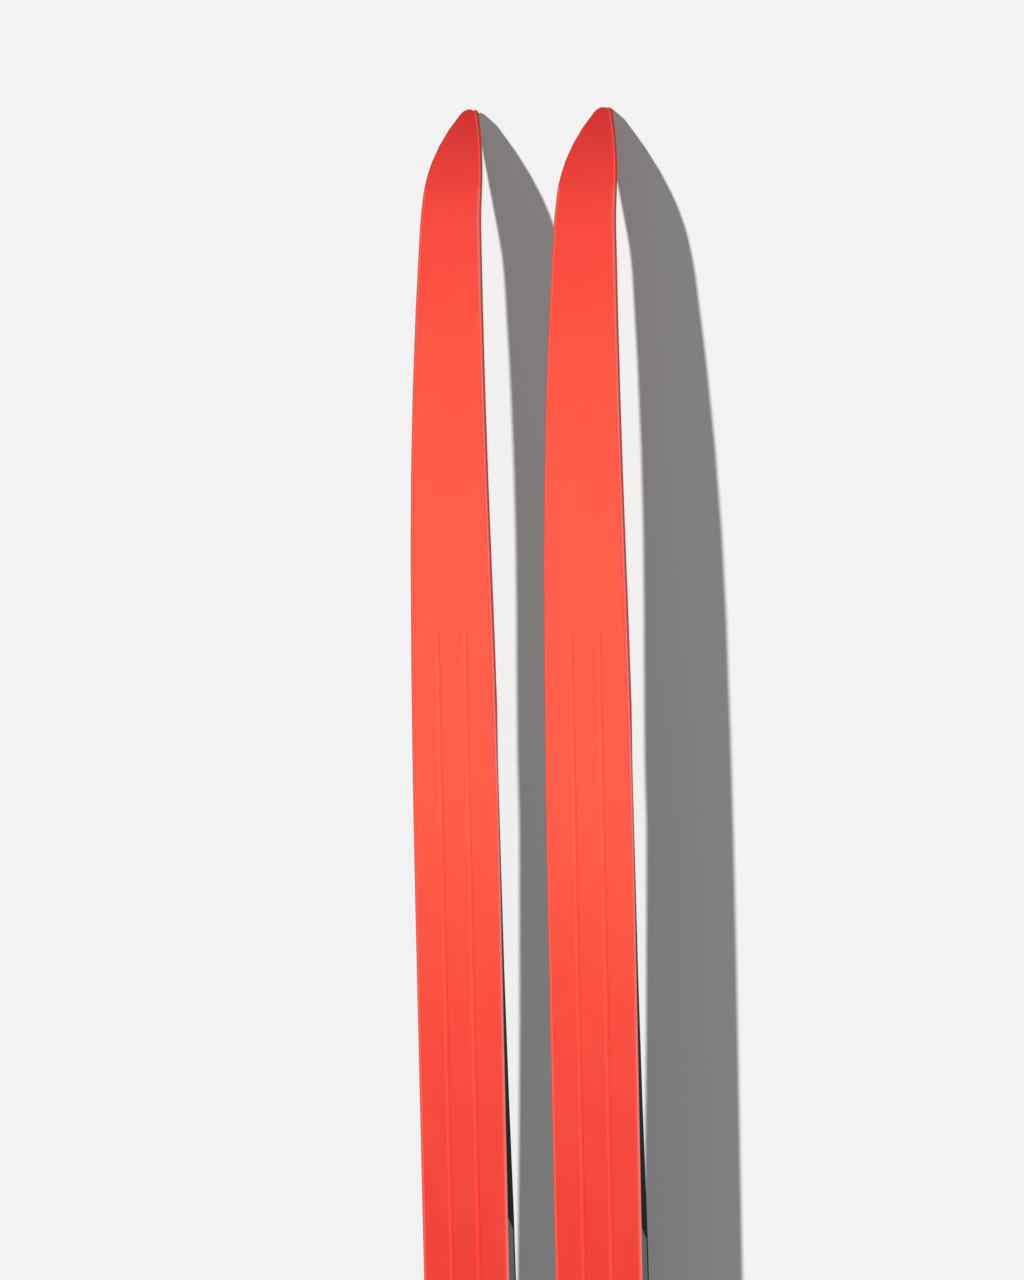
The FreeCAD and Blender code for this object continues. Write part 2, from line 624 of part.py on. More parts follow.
def heel_carriage(pin_hole):
    """The sliding carriage with the two cheeks that carry the jaw."""
    gap = "carriage_gap"
    floor = f"{RISER_TOP} + track_floor + {gap}"
    wide = f"track_width / 2 - track_wall - {gap}"
    narrow = f"track_width / 2 - track_wall - track_lip - {gap}"
    under_lip = f"{RISER_TOP} + track_height - track_lip - {gap}"
    top = f"{RISER_TOP} + track_height + 2"
    right = [(wide, floor), (wide, under_lip), (narrow, under_lip), (narrow, top)]
    left = [(f"-({x})", z) for x, z in right[::-1]]
    block = slab("carriage_block", "XZ_Plane", right + left, f"{HEEL} + 16", f"{HEEL} + 88")
    pivot_y = f"{HEEL} + jaw_pivot_back"
    pivot_z = f"{RISER_TOP} + jaw_pivot_rise"
    profile = [
        (f"{pivot_y} - 22", f"{top} - 1"), (f"{pivot_y} + 20", f"{top} - 1"),
        (f"{pivot_y} + 10", f"{pivot_z} + 2", "10"), (f"{pivot_y} - 9", f"{pivot_z} + 5"),
    ]

    def cheek(name, sign):
        inner = "jaw_width / 2 + carriage_gap"
        outer = f"{inner} + cheek_thickness"
        low, high = (inner, outer) if sign > 0 else (f"-({outer})", f"-({inner})")
        return slab(name, "YZ_Plane", profile, low, high)

    return cut("heel_carriage", fuse("carriage_solid", block, *mirror_pair("heel_cheek", cheek)), pin_hole)


def heel_jaw_pin():
    """The cross pin that the jaw turns on."""
    end = "jaw_width / 2 + carriage_gap + cheek_thickness + 0.6"
    spot = (f"-({end})", f"{HEEL} + jaw_pivot_back", f"{RISER_TOP} + jaw_pivot_rise")
    return rod("jaw_pin", "jaw_pin_radius", spot, f"2 * ({end})", "X")


def heel_lever_pin():
    """The cross pin that the lever turns on."""
    end = "jaw_width / 2 + 3.8"
    spot = (f"-({end})", f"{HEEL} + lever_pivot_back", f"{RISER_TOP} + lever_pivot_rise")
    return rod("lever_pin", "lever_pin_radius", spot, f"2 * ({end})", "X")


def heel_ring(name, inner, outer, low, high):
    """An arc of wall around the back of the boot's heel."""
    centre = f"({HEEL} - heel_radius)"
    spread = "cos(46 * 1 deg)"
    rise = "sin(46 * 1 deg)"
    corners = [
        (f"({outer}) * {spread}", f"{centre} + ({outer}) * {rise}", outer),
        (f"-({outer}) * {spread}", f"{centre} + ({outer}) * {rise}"),
        (f"-({inner}) * {spread}", f"{centre} + ({inner}) * {rise}", f"-({inner})"),
        (f"({inner}) * {spread}", f"{centre} + ({inner}) * {rise}"),
    ]
    return slab(name, "XY_Plane", corners, low, high)


def heel_jaw(pins):
    """The jaw: a spring housing with a cup and lip that hold the boot's heel."""
    low = RISER_TOP
    profile = [
        (f"{HEEL} + 4", f"{low} + 19"), (f"{HEEL} + 68", f"{low} + 15"), (f"{HEEL} + 76", f"{low} + 19"),
        (f"{HEEL} + 79", f"{low} + 36"), (f"{HEEL} + 68", f"{low} + 49"), (f"{HEEL} + 34", f"{low} + 55"),
        (f"{HEEL} + 12", f"{low} + 54"), (f"{HEEL} + 2", f"{low} + 46"),
    ]
    half = "jaw_width / 2"
    block = slab("jaw_block", "YZ_Plane", profile, f"-{half}", half)
    top_z = value(f"{low} + 34")
    sharp = along(0)
    round_edges(block, "3.5", lambda edge: not sharp(edge) and edge.BoundBox.ZMin > top_z)
    lip_low = f"{SOLE} + heel_lug"
    cup = heel_ring("jaw_cup", "heel_radius", "heel_radius + heel_wall", f"{low} + 21", f"{lip_low} + 6")
    lip = heel_ring("jaw_lip", "heel_radius - heel_lip", "heel_radius + 1", lip_low, f"{lip_low} + 6")
    bore_z = f"{low} + heel_bore_rise"
    bore = rod("jaw_bore", "heel_bore_radius", ("0", f"{HEEL} + 18", bore_z), "46", "Y")
    screw_way = rod("jaw_screw_way", "setting_radius + run_gap", ("0", f"{HEEL} + 60", bore_z), "30", "Y")
    return cut("heel_jaw", fuse("jaw_solid", block, cup, lip), bore, screw_way, pins)


def heel_lever(pin_hole):
    """The step-out lever: a long tongue with two ears on the jaw."""
    low = RISER_TOP
    tongue = [
        (f"{HEEL} + 16", f"{low} + 57"), (f"{HEEL} + 48", f"{low} + 58"), (f"{HEEL} + 74", f"{low} + 60"),
        (f"{HEEL} + 110", f"{low} + 71"), (f"{HEEL} + 113", f"{low} + 76"), (f"{HEEL} + 106", f"{low} + 79"),
        (f"{HEEL} + 62", f"{low} + 67", "-160"), (f"{HEEL} + 24", f"{low} + 63"),
    ]
    ear = [(f"{HEEL} + 19", f"{low} + 46"), (f"{HEEL} + 36", f"{low} + 46"), (f"{HEEL} + 46", f"{low} + 59"),
           (f"{HEEL} + 17", f"{low} + 59")]
    half = "(jaw_width / 2 + 3.2)"
    blade = slab("lever_blade", "YZ_Plane", tongue, f"-{half}", half)

    def flange(name, sign):
        inner = "jaw_width / 2 + 0.2"
        low_x, high_x = (inner, half) if sign > 0 else (f"-{half}", f"-({inner})")
        return slab(name, "YZ_Plane", ear, low_x, high_x)

    dish = rod("lever_dish", "26", (f"-{half} - 1", f"{HEEL} + 84", f"{low} + 94"), f"2 * {half} + 2", "X")
    solid = fuse("lever_solid", blade, *mirror_pair("lever_ear", flange))
    return cut("heel_lever", solid, dish, pin_hole)


def heel_spring():
    """The release spring in the jaw."""
    start = ("0", f"{HEEL} + 20", f"{RISER_TOP} + heel_bore_rise")
    return coil("heel_spring", "6.6", "1.5", "5.2", "34", start, "Y")


# ---------------------------------------------------------------- brake
# The brake is drawn about its own axle with the arms level, then turned to its resting angle.

def brake_axle_and_arms():
    """One bent wire: the axle and both arms."""
    out = "brake_arm_out"
    pieces = [rod("brake_axle", "brake_wire", (f"-{out}", "0", "0"), f"2 * {out}", "X")]
    for word, sign in (("l", -1), ("r", 1)):
        corner = (f"{sign} * {out}", "0", "0")
        pieces.append(ball(f"brake_bend_{word}", "brake_wire", corner))
        pieces.append(rod(f"brake_arm_{word}", "brake_wire", corner, "brake_arm_length", "Y"))
    return fuse("brake_wire_local", *pieces)


def brake_pedal(wire):
    """The pedal plate under the boot's heel, on its hub, notched to clear the return spring."""
    plate = slab("pedal_plate", "XY_Plane", rectangle("pedal_width / 2", "-pedal_length", "2"), "0.4", "3.4")
    round_edges(plate, "4", lambda edge: along(2)(edge) and edge.CenterOfMass.y < -30)
    hub = rod("pedal_hub", "4.1", ("-8", "0", "0"), "16", "X")
    clear = "brake_spring_wire + brake_spring_room"
    start = (f"brake_spring_start - ({clear})", "0", "0")
    notch = rod("pedal_notch", f"brake_spring_radius + {clear}", start,
                f"brake_spring_length + 2 * ({clear})", "X")
    return cut("brake_pedal", fuse("pedal_solid", plate, hub), wire, notch)


def brake_feet(wire):
    """The moulded shoes on the ends of the arms."""
    profile = [
        ("foot_start", "-3.6"), ("foot_end - 6", "-foot_half"), ("foot_end", "-foot_half"),
        ("foot_end + 2", "0"), ("foot_end - 4", "foot_half"), ("foot_start", "4"),
    ]

    def foot(name, sign):
        low, high = ("foot_inner", "foot_outer") if sign > 0 else ("-foot_outer", "-foot_inner")
        return slab(name, "YZ_Plane", profile, low, high)

    return cut("brake_feet", group("feet_solid", *mirror_pair("brake_foot", foot)), wire)


def brake_bearings():
    """The two blocks on the riser that the brake's axle turns in."""
    def block(name, sign):
        inner = "bearing_inner"
        outer = "bearing_inner + bearing_width"
        x = (inner, outer) if sign > 0 else (f"-({outer})", f"-({inner})")
        return box(name, x, (f"{BRAKE_Y} - bearing_half", f"{BRAKE_Y} + bearing_half"),
                   (RISER_TOP, f"{RISER_TOP} + bearing_height"))

    hole = rod("bearing_hole", "brake_wire + run_gap", ("-40", BRAKE_Y, BRAKE_Z), "80", "X")
    return cut("brake_bearings", group("bearing_blocks", *mirror_pair("bearing", block)), hole)


def brake_spring():
    """The coil around the axle that swings the brake down."""
    start = ("brake_spring_start", BRAKE_Y, BRAKE_Z)
    return coil("brake_spring", "brake_spring_radius", "brake_spring_wire", "brake_spring_pitch",
                "brake_spring_length", start, "X")


# ---------------------------------------------------------------- assembly

def one_ski():
    """Build every piece of a ski once, about its own centre line."""
    screws = mounting_screws()
    forms = ski_forms(screws)
    toe_pin_pair = toe_pins()
    jaw_pin = heel_jaw_pin()
    lever_pin = heel_lever_pin()
    pins = group("heel_pins_local", jaw_pin, lever_pin)
    jaw_hole = rod("jaw_pin_hole", "jaw_pin_radius + run_gap",
                   ("-40", f"{HEEL} + jaw_pivot_back", f"{RISER_TOP} + jaw_pivot_rise"), "80", "X")
    lever_hole = rod("lever_pin_hole", "lever_pin_radius + run_gap",
                     ("-40", f"{HEEL} + lever_pivot_back", f"{RISER_TOP} + lever_pivot_rise"), "80", "X")
    toe_screw = setting_screw("toe_setting_screw", f"{TOE} - 92", f"{TOE} - 59",
                              f"{TOE_FLOOR} + toe_bore_rise", True)
    heel_screw = setting_screw("heel_setting_screw", f"{HEEL} + 57", f"{HEEL} + 84",
                               f"{RISER_TOP} + heel_bore_rise", False)
    wire = brake_axle_and_arms()
    return {
        "running_base": running_base(forms),
        "steel_edges": forms["edges"],
        "wood_core": wood_core(forms),
        "laminates": group("laminates_local", bottom_laminate(forms), top_laminate(forms)),
        "cap_topsheet": cap_topsheet(forms),
        "sidewalls": forms["sidewalls"],
        "tail_protector": tail_protector(),
        "riser_plate": riser_plate(screws),
        "mounting_screws": screws,
        "toe_base": toe_base(screws),
        "toe_housing": toe_housing(toe_pin_pair),
        "toe_pivot_pins": toe_pin_pair,
        "toe_wing_left": toe_wing("toe_wing_left", -1),
        "toe_wing_right": toe_wing("toe_wing_right", 1),
        "toe_spring": toe_spring(),
        "toe_spring_nut": toe_spring_nut(),
        "toe_setting_screw": toe_screw,
        "afd_plate": afd_plate(),
        "heel_track": heel_track(screws),
        "heel_carriage": heel_carriage(jaw_hole),
        "heel_jaw": heel_jaw(pins),
        "heel_pins": pins,
        "heel_lever": heel_lever(lever_hole),
        "heel_spring": heel_spring(),
        "heel_setting_screw": heel_screw,
        "brake_bearings": brake_bearings(),
        "brake_spring": brake_spring(),
        "brake_pedal": brake_pedal(wire),
        "brake_arms": wire,
        "brake_feet": brake_feet(wire),
    }


TURNED_WITH_BRAKE = ("brake_pedal", "brake_arms", "brake_feet")


def place_ski(side, sign, pieces):
    """Set one ski's pieces at its place in the pair."""
    centre = f"{sign} * ski_spacing / 2"
    for name, piece in pieces.items():
        node = group(f"{side}_{name}", piece)
        node.Label = f"{side}_{name}"
        if name in TURNED_WITH_BRAKE:
            turn = FreeCAD.Rotation(FreeCAD.Vector(-1, 0, 0), 1)
            node.Placement = FreeCAD.Placement(FreeCAD.Vector(), turn)
            bind(node, Placement__Rotation__Angle="brake_rest_angle")
            place(node, centre, BRAKE_Y, BRAKE_Z)
        else:
            place(node, centre)
        NODES.append(node)


def check_document():
    """Stop if any feature failed or any piece is empty or invalid."""
    for item in DOC.Objects:
        if "Invalid" in item.State or "Error" in item.State:
            raise RuntimeError(f"{item.Name} failed: {item.State}")
    for node in NODES:
        if node.Shape.isNull() or not node.Shape.isValid() or not node.Shape.Solids:
            raise RuntimeError(f"{node.Label} has no valid solid")


def write_parts():
    """Write each piece to its own file."""
    os.makedirs("parts", exist_ok=True)
    for node in NODES:
        node.Shape.exportStep(f"parts/{node.Label}.step")


def main():
    fill_sheet()
    pieces = one_ski()
    DOC.recompute()
    for side, sign in (("left", -1), ("right", 1)):
        place_ski(side, sign, pieces)
    DOC.recompute()
    check_document()
    write_parts()
    for node in NODES[:len(pieces)]:
        size = node.Shape.BoundBox
        print(f"{node.Label}: {len(node.Shape.Solids)} solids, {node.Shape.Volume / 1000:.2f} cm3,",
              f"x {size.XMin:.1f}..{size.XMax:.1f}, y {size.YMin:.1f}..{size.YMax:.1f},",
              f"z {size.ZMin:.1f}..{size.ZMax:.1f}")


main()
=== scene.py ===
import math

import bmesh
import bpy
from mathutils import Euler, Matrix, Vector


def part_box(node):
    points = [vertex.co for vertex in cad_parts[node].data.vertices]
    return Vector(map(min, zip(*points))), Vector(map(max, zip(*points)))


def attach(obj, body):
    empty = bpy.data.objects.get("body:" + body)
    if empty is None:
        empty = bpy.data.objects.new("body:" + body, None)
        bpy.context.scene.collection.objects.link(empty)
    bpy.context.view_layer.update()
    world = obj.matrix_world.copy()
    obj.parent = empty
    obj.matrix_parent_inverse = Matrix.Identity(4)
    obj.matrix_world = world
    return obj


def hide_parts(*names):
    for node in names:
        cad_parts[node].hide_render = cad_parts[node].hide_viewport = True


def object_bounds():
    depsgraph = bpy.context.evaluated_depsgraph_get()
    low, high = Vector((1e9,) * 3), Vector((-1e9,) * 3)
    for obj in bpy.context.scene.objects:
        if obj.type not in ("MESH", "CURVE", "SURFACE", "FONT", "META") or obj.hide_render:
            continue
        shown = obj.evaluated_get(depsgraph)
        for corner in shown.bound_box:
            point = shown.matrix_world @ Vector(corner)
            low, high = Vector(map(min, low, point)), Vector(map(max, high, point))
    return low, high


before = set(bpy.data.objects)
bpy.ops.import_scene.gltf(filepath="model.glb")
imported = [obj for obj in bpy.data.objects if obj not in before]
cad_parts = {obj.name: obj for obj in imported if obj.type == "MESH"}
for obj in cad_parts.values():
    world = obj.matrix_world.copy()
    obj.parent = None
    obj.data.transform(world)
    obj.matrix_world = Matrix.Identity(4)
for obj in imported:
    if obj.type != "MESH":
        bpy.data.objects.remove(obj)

# A pair of alpine skis with bindings. Metres, the row frame: tips towards -Y, running bases down, +Z up.

CAD_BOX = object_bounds()
TIP_Y = CAD_BOX[0].y
SIDES = ("left", "right")
MM = 0.001
UP = (0, 0, 1)


# ---------------------------------------------------------------- material nodes

class Graph:
    """One material's node tree, with a short call for each node it needs."""

    def __init__(self, name):
        self.material = bpy.data.materials.new(name)
        self.material.use_nodes = True
        self.nodes = self.material.node_tree.nodes
        self.links = self.material.node_tree.links
        self.nodes.clear()
        self.output = self.nodes.new("ShaderNodeOutputMaterial")
        self.place = self.nodes.new("ShaderNodeTexCoord").outputs["Object"]

    def fill(self, socket, value):
        """Joins another socket to this one, or sets its plain value or colour."""
        if isinstance(value, bpy.types.NodeSocket):
            self.links.new(value, socket)
        elif isinstance(value, tuple) and socket.type == "RGBA":
            socket.default_value = (*value, 1.0)
        else:
            socket.default_value = value

    def add(self, kind, inputs, **settings):
        """A node of this kind, with its settings and inputs filled in."""
        node = self.nodes.new(kind)
        for key, value in settings.items():
            setattr(node, key, value)
        for key, value in inputs.items():
            self.fill(node.inputs[key], value)
        return node

    def axis(self, letter):
        """The object coordinate along one axis, in metres."""
        return self.add("ShaderNodeSeparateXYZ", {"Vector": self.place}).outputs[letter]

    def normal_axis(self, letter):
        """How far the surface faces along one axis of the object, from -1 to 1."""
        normal = self.nodes.new("ShaderNodeTexCoord").outputs["Normal"]
        return self.add("ShaderNodeSeparateXYZ", {"Vector": normal}).outputs[letter]

    def stretched(self, scale):
        """The object coordinates times this scale along each axis."""
        return self.add("ShaderNodeMapping", {"Vector": self.place, "Scale": scale}).outputs["Vector"]

    def noise(self, scale, stretch=(1, 1, 1), detail=3.0, roughness=0.55):
        """Noise from 0 to 1, with scale cells to the metre along each axis times the stretch."""
        inputs = {"Vector": self.stretched(stretch), "Scale": scale, "Detail": detail, "Roughness": roughness}
        return self.add("ShaderNodeTexNoise", inputs).outputs["Fac"]

    def cells(self, scale, stretch=(1, 1, 1)):
        """Distance to the nearest cell centre, for pebbled and moulded grain."""
        inputs = {"Vector": self.stretched(stretch), "Scale": scale}
        return self.add("ShaderNodeTexVoronoi", inputs).outputs["Distance"]

    def calc(self, operation, first, second=0.0, third=0.0):
        """One step of arithmetic, by the name of the math node's operation."""
        node = self.nodes.new("ShaderNodeMath")
        node.operation = operation
        for socket, value in zip(node.inputs, (first, second, third)):
            self.fill(socket, value)
        return node.outputs[0]

    def spread(self, value, low, high, out_low=0.0, out_high=1.0, smooth=False):
        """Maps low..high to out_low..out_high, and holds the ends."""
        inputs = {"Value": value, "From Min": low, "From Max": high, "To Min": out_low, "To Max": out_high}
        kind = "SMOOTHSTEP" if smooth else "LINEAR"
        return self.add("ShaderNodeMapRange", inputs, interpolation_type=kind, clamp=True).outputs["Result"]

    def blend(self, share, first, second):
        """The first colour where share is 0, and the second where it is 1."""
        node = self.nodes.new("ShaderNodeMix")
        node.data_type = "RGBA"
        for socket, value in ((node.inputs[0], share), (node.inputs[6], first), (node.inputs[7], second)):
            self.fill(socket, value)
        return node.outputs[2]

    def band(self, value, middle, half, soft):
        """1 within half of middle, falling to 0 over soft."""
        away = self.calc("ABSOLUTE", self.calc("SUBTRACT", value, middle))
        return self.spread(away, half, half + soft, 1.0, 0.0, smooth=True)

    def bump(self, height, depth, below=None):
        """A bump of that depth in metres, on top of the normal below."""
        inputs = {"Height": height, "Distance": depth, "Strength": 1.0}
        if below is not None:
            inputs["Normal"] = below
        return self.add("ShaderNodeBump", inputs).outputs["Normal"]

    def rounded(self, radius):
        """The normal of the surface as if its edges were rounded off."""
        return self.add("ShaderNodeBevel", {"Radius": radius}, samples=6).outputs["Normal"]

    def near_edge(self, rounded):
        """0 on flat stretches, rising to 1 on an edge, where the rounded normal leaves the true one."""
        flat = self.nodes.new("ShaderNodeNewGeometry").outputs["Normal"]
        agree = self.add("ShaderNodeVectorMath", {0: rounded, 1: flat}, operation="DOT_PRODUCT")
        return self.spread(agree.outputs["Value"], 0.995, 0.86)

    def finish(self, **inputs):
        """Ends the tree in a principled shader with these inputs, by their names with _ for a space."""
        shader = self.nodes.new("ShaderNodeBsdfPrincipled")
        for key, value in inputs.items():
            self.fill(shader.inputs[key.replace("_", " ")], value)
        self.links.new(shader.outputs[0], self.output.inputs["Surface"])
        return self.material


def red_base():
    """Waxed red sintered base: fine lengthwise grind, faint blotches, and painted light along its length:
    painted shade at the tip, a painted highlight warmest 0.4 m behind the tip, and painted shade towards the
    tail.
    """
    g = Graph("red_base")
    normal = g.rounded(0.0007)
    along = g.calc("SUBTRACT", g.axis("Y"), TIP_Y)
    grind = g.noise(1.0, (2600, 18, 600), detail=2.0)
    scratch = g.noise(1.0, (900, 5, 300), detail=4.0, roughness=0.7)
    blotch = g.noise(34.0, (1.0, 0.6, 1.0), detail=5.0, roughness=0.6)
    speck = g.noise(700.0, detail=2.0)
    # Painted shade: a darker, deeper red at the tip.
    red = g.blend(g.spread(along, 0.02, 0.16), (0.90, 0.044, 0.040), (0.93, 0.080, 0.051))
    # Painted highlight: a brighter, warmer band about 0.38 m behind the tip.
    red = g.blend(g.band(along, 0.38, 0.04, 0.24), red, (0.93, 0.101, 0.060))
    # Painted shade: darker towards the tail.
    red = g.blend(g.spread(along, 0.52, 0.86), red, (0.785, 0.041, 0.033))
    red = g.blend(g.spread(blotch, 0.35, 0.75, 0.0, 0.10), red, (0.95, 0.16, 0.10))
    red = g.blend(g.spread(scratch, 0.60, 0.80, 0.0, 0.08), red, (1.0, 0.26, 0.19))
    red = g.blend(g.spread(speck, 0.66, 0.80, 0.0, 0.14), red, (0.50, 0.02, 0.02))
    height = g.calc("ADD", grind, g.calc("MULTIPLY", scratch, 0.6))
    gloss = g.spread(blotch, 0.3, 0.8, 0.46, 0.58)
    return g.finish(Base_Color=red, Roughness=gloss, Normal=g.bump(height, 0.000008, normal),
                    Specular_IOR_Level=0.25, Specular_Tint=(1.0, 0.55, 0.42))


def edge_steel():
    """Ground steel edges under a thin film of red base plastic: lengthwise file marks, small dull specks."""
    g = Graph("edge_steel")
    normal = g.rounded(0.0008)
    marks = g.noise(1.0, (3000, 22, 3000), detail=3.0)
    film = g.noise(60.0, (1.0, 0.35, 1.0), detail=4.0)
    down = g.spread(g.normal_axis("Z"), -0.55, -0.85)
    steel = g.blend(marks, (0.34, 0.33, 0.33), (0.52, 0.50, 0.49))
    red = g.blend(down, (0.45, 0.045, 0.038), (0.92, 0.092, 0.060))
    worn = g.calc("SUBTRACT", 1.0, g.calc("MULTIPLY", down, 0.8))
    share = g.calc("SUBTRACT", 1.0, g.calc("MULTIPLY", worn, g.spread(film, 0.25, 0.8, 0.10, 0.26)))
    colour = g.blend(share, steel, red)
    speck = g.spread(g.noise(420.0, detail=3.0), 0.70, 0.80, 0.0, 0.4)
    colour = g.blend(speck, colour, (0.30, 0.05, 0.035))
    return g.finish(Base_Color=colour, Metallic=g.calc("SUBTRACT", 1.0, share),
                    Roughness=g.spread(marks, 0.2, 0.8, 0.40, 0.55), Normal=g.bump(marks, 0.00002, normal),
                    Specular_IOR_Level=0.2)


def wood():
    """Vertically laminated core: pale staves with fine grain and glue lines."""
    staves_per_metre = 110.0
    g = Graph("wood_core")
    stave = g.calc("FRACT", g.calc("MULTIPLY", g.axis("X"), staves_per_metre))
    grain = g.noise(1.0, (900, 14, 900), detail=6.0, roughness=0.65)
    colour = g.blend(grain, (0.62, 0.40, 0.20), (0.83, 0.64, 0.40))
    colour = g.blend(g.band(stave, 0.5, 0.455, 0.02), (0.22, 0.12, 0.06), colour)
    return g.finish(Base_Color=colour, Roughness=0.6, Normal=g.bump(grain, 0.00006))


def laminate():
    """Glass cloth in dark resin: a fine square weave under a satin surface."""
    g = Graph("laminate")
    cloth_rate = 5200.0  # radians of its wave to the metre
    across = g.calc("SINE", g.calc("MULTIPLY", g.axis("X"), cloth_rate))
    along = g.calc("SINE", g.calc("MULTIPLY", g.axis("Y"), cloth_rate))
    weave = g.spread(g.calc("MULTIPLY", across, along), -1.0, 1.0)
    colour = g.blend(weave, (0.10, 0.105, 0.095), (0.26, 0.27, 0.24))
    return g.finish(Base_Color=colour, Roughness=0.38, Normal=g.bump(weave, 0.00002))


def cap():
    """Satin black lacquer cap: fine weave, plain red and grey pinstripes, scuffed edges, red front sides."""
    weave_rate = 3600.0  # radians of its wave to the metre
    red_stripe, red_half = 0.0175, 0.0012
    grey_stripe, grey_half = 0.0135, 0.0005
    dash_half = 0.0062
    red_side_end, black_side_start = 0.46, 0.56
    g = Graph("cap_topsheet")
    normal = g.rounded(0.0008)
    near = g.near_edge(normal)
    along = g.axis("Y")
    up = g.spread(g.normal_axis("Z"), 0.45, 0.80)
    centre_offset = g.calc("SUBTRACT", g.calc("ABSOLUTE", g.axis("X")), SKI_CENTRE)
    across = g.calc("ABSOLUTE", centre_offset)
    weave = g.calc("MULTIPLY", g.calc("SINE", g.calc("MULTIPLY", g.axis("X"), weave_rate)),
                   g.calc("SINE", g.calc("MULTIPLY", along, weave_rate)))
    fleck = g.noise(1500.0, detail=2.0)
    scuff = g.noise(1.0, (240, 30, 240), detail=6.0, roughness=0.7)
    black = g.blend(g.spread(weave, -1.0, 1.0), (0.010, 0.010, 0.011), (0.021, 0.021, 0.024))
    black = g.blend(g.spread(fleck, 0.62, 0.80, 0.0, 0.35), black, (0.09, 0.09, 0.10))
    ends = g.spread(g.calc("ABSOLUTE", along), 0.60, 0.70, smooth=True)
    shown = g.calc("MULTIPLY", up, ends)
    outer = g.calc("MULTIPLY", g.band(across, red_stripe, red_half, 0.0002), shown)
    inner = g.calc("MULTIPLY", g.band(across, grey_stripe, grey_half, 0.0002), shown)
    colour = g.blend(outer, black, (0.62, 0.035, 0.022))
    colour = g.blend(inner, colour, (0.30, 0.30, 0.31))
    dashed = g.calc("MULTIPLY", up, dashes(g, along))
    middle = g.calc("MULTIPLY", g.band(across, 0.0, dash_half, 0.0003), dashed)
    colour = g.blend(middle, colour, (0.66, 0.040, 0.026))
    worn = g.calc("MULTIPLY", near, g.spread(scuff, 0.52, 0.72))
    colour = g.blend(g.calc("MULTIPLY", worn, 0.7), colour, (0.22, 0.22, 0.23))
    front = g.spread(g.calc("SUBTRACT", along, TIP_Y), red_side_end, black_side_start, 1.0, 0.0)
    film = g.calc("MULTIPLY", g.calc("SUBTRACT", 1.0, up), front)
    colour = g.blend(film, colour, (0.95, 0.085, 0.056))
    gloss = g.calc("ADD", g.spread(scuff, 0.3, 0.75, 0.20, 0.36), g.calc("MULTIPLY", worn, 0.25))
    height = g.calc("ADD", g.calc("MULTIPLY", weave, 0.25), g.calc("MULTIPLY", fleck, 0.5))
    return g.finish(Base_Color=colour, Roughness=gloss, Normal=g.bump(height, 0.000012, normal),
                    Specular_IOR_Level=g.spread(up, 0.0, 1.0, 0.02, 0.5),
                    Coat_Weight=g.calc("MULTIPLY", up, 0.35), Coat_Roughness=0.12)


def dashes(g, along):
    """1 on dashes that run together at both ends of the ski and shorten towards its middle, and 0 between."""
    first, solid = 0.62, 0.96
    dashes_per_metre = 16.0
    far = g.calc("ABSOLUTE", along)
    place = g.calc("FRACT", g.calc("MULTIPLY", far, dashes_per_metre))
    length = g.spread(far, first, solid, 0.12, 1.02)
    on = g.calc("LESS_THAN", place, length)
    return g.calc("MULTIPLY", on, g.calc("GREATER_THAN", far, first))


def sidewall():
    """Planed grey sidewall plastic: lengthwise tool marks and a faint sheen."""
    g = Graph("sidewall")
    normal = g.rounded(0.0005)
    near = g.near_edge(normal)
    marks = g.noise(1.0, (1500, 16, 1500), detail=4.0)
    patch = g.noise(26.0, detail=3.0)
    colour = g.blend(marks, (0.105, 0.094, 0.098), (0.140, 0.124, 0.128))
    colour = g.blend(g.spread(patch, 0.4, 0.8, 0.0, 0.3), colour, (0.17, 0.155, 0.155))
    colour = g.blend(g.calc("MULTIPLY", near, 0.4), colour, (0.26, 0.25, 0.25))
    return g.finish(Base_Color=colour, Roughness=g.spread(marks, 0.2, 0.8, 0.36, 0.52),
                    Normal=g.bump(marks, 0.00003, normal))


def moulded(name, dark, light, grain=1400.0, gloss=0.42, edge=(0.20, 0.20, 0.21)):
    """Injection-moulded plastic: spark-eroded grain, faint flow marks, edges that have rubbed paler."""
    g = Graph(name)
    normal = g.rounded(0.0005)
    near = g.near_edge(normal)
    pebble = g.cells(grain)
    flow = g.noise(40.0, (1.0, 0.4, 1.0), detail=4.0)
    rub = g.noise(160.0, detail=4.0, roughness=0.7)
    colour = g.blend(flow, dark, light)
    worn = g.calc("MULTIPLY", near, g.spread(rub, 0.42, 0.66, 0.0, 0.75))
    colour = g.blend(worn, colour, edge)
    return g.finish(Base_Color=colour, Roughness=g.spread(flow, 0.3, 0.7, gloss - 0.05, gloss + 0.08),
                    Normal=g.bump(pebble, 0.00003, normal), Specular_IOR_Level=0.45)


def painted_alloy(name, dark, light, bare=(0.62, 0.62, 0.63)):
    """Cast alloy under satin paint, worn to bright metal on its edges."""
    g = Graph(name)
    normal = g.rounded(0.0005)
    near = g.near_edge(normal)
    cast = g.noise(900.0, detail=3.0)
    rub = g.noise(220.0, detail=5.0, roughness=0.7)
    worn = g.calc("MULTIPLY", near, g.spread(rub, 0.50, 0.62))
    colour = g.blend(worn, g.blend(cast, dark, light), bare)
    return g.finish(Base_Color=colour, Metallic=g.calc("ADD", 0.15, g.calc("MULTIPLY", worn, 0.85)),
                    Roughness=g.spread(cast, 0.3, 0.7, 0.34, 0.46), Normal=g.bump(cast, 0.00003, normal))


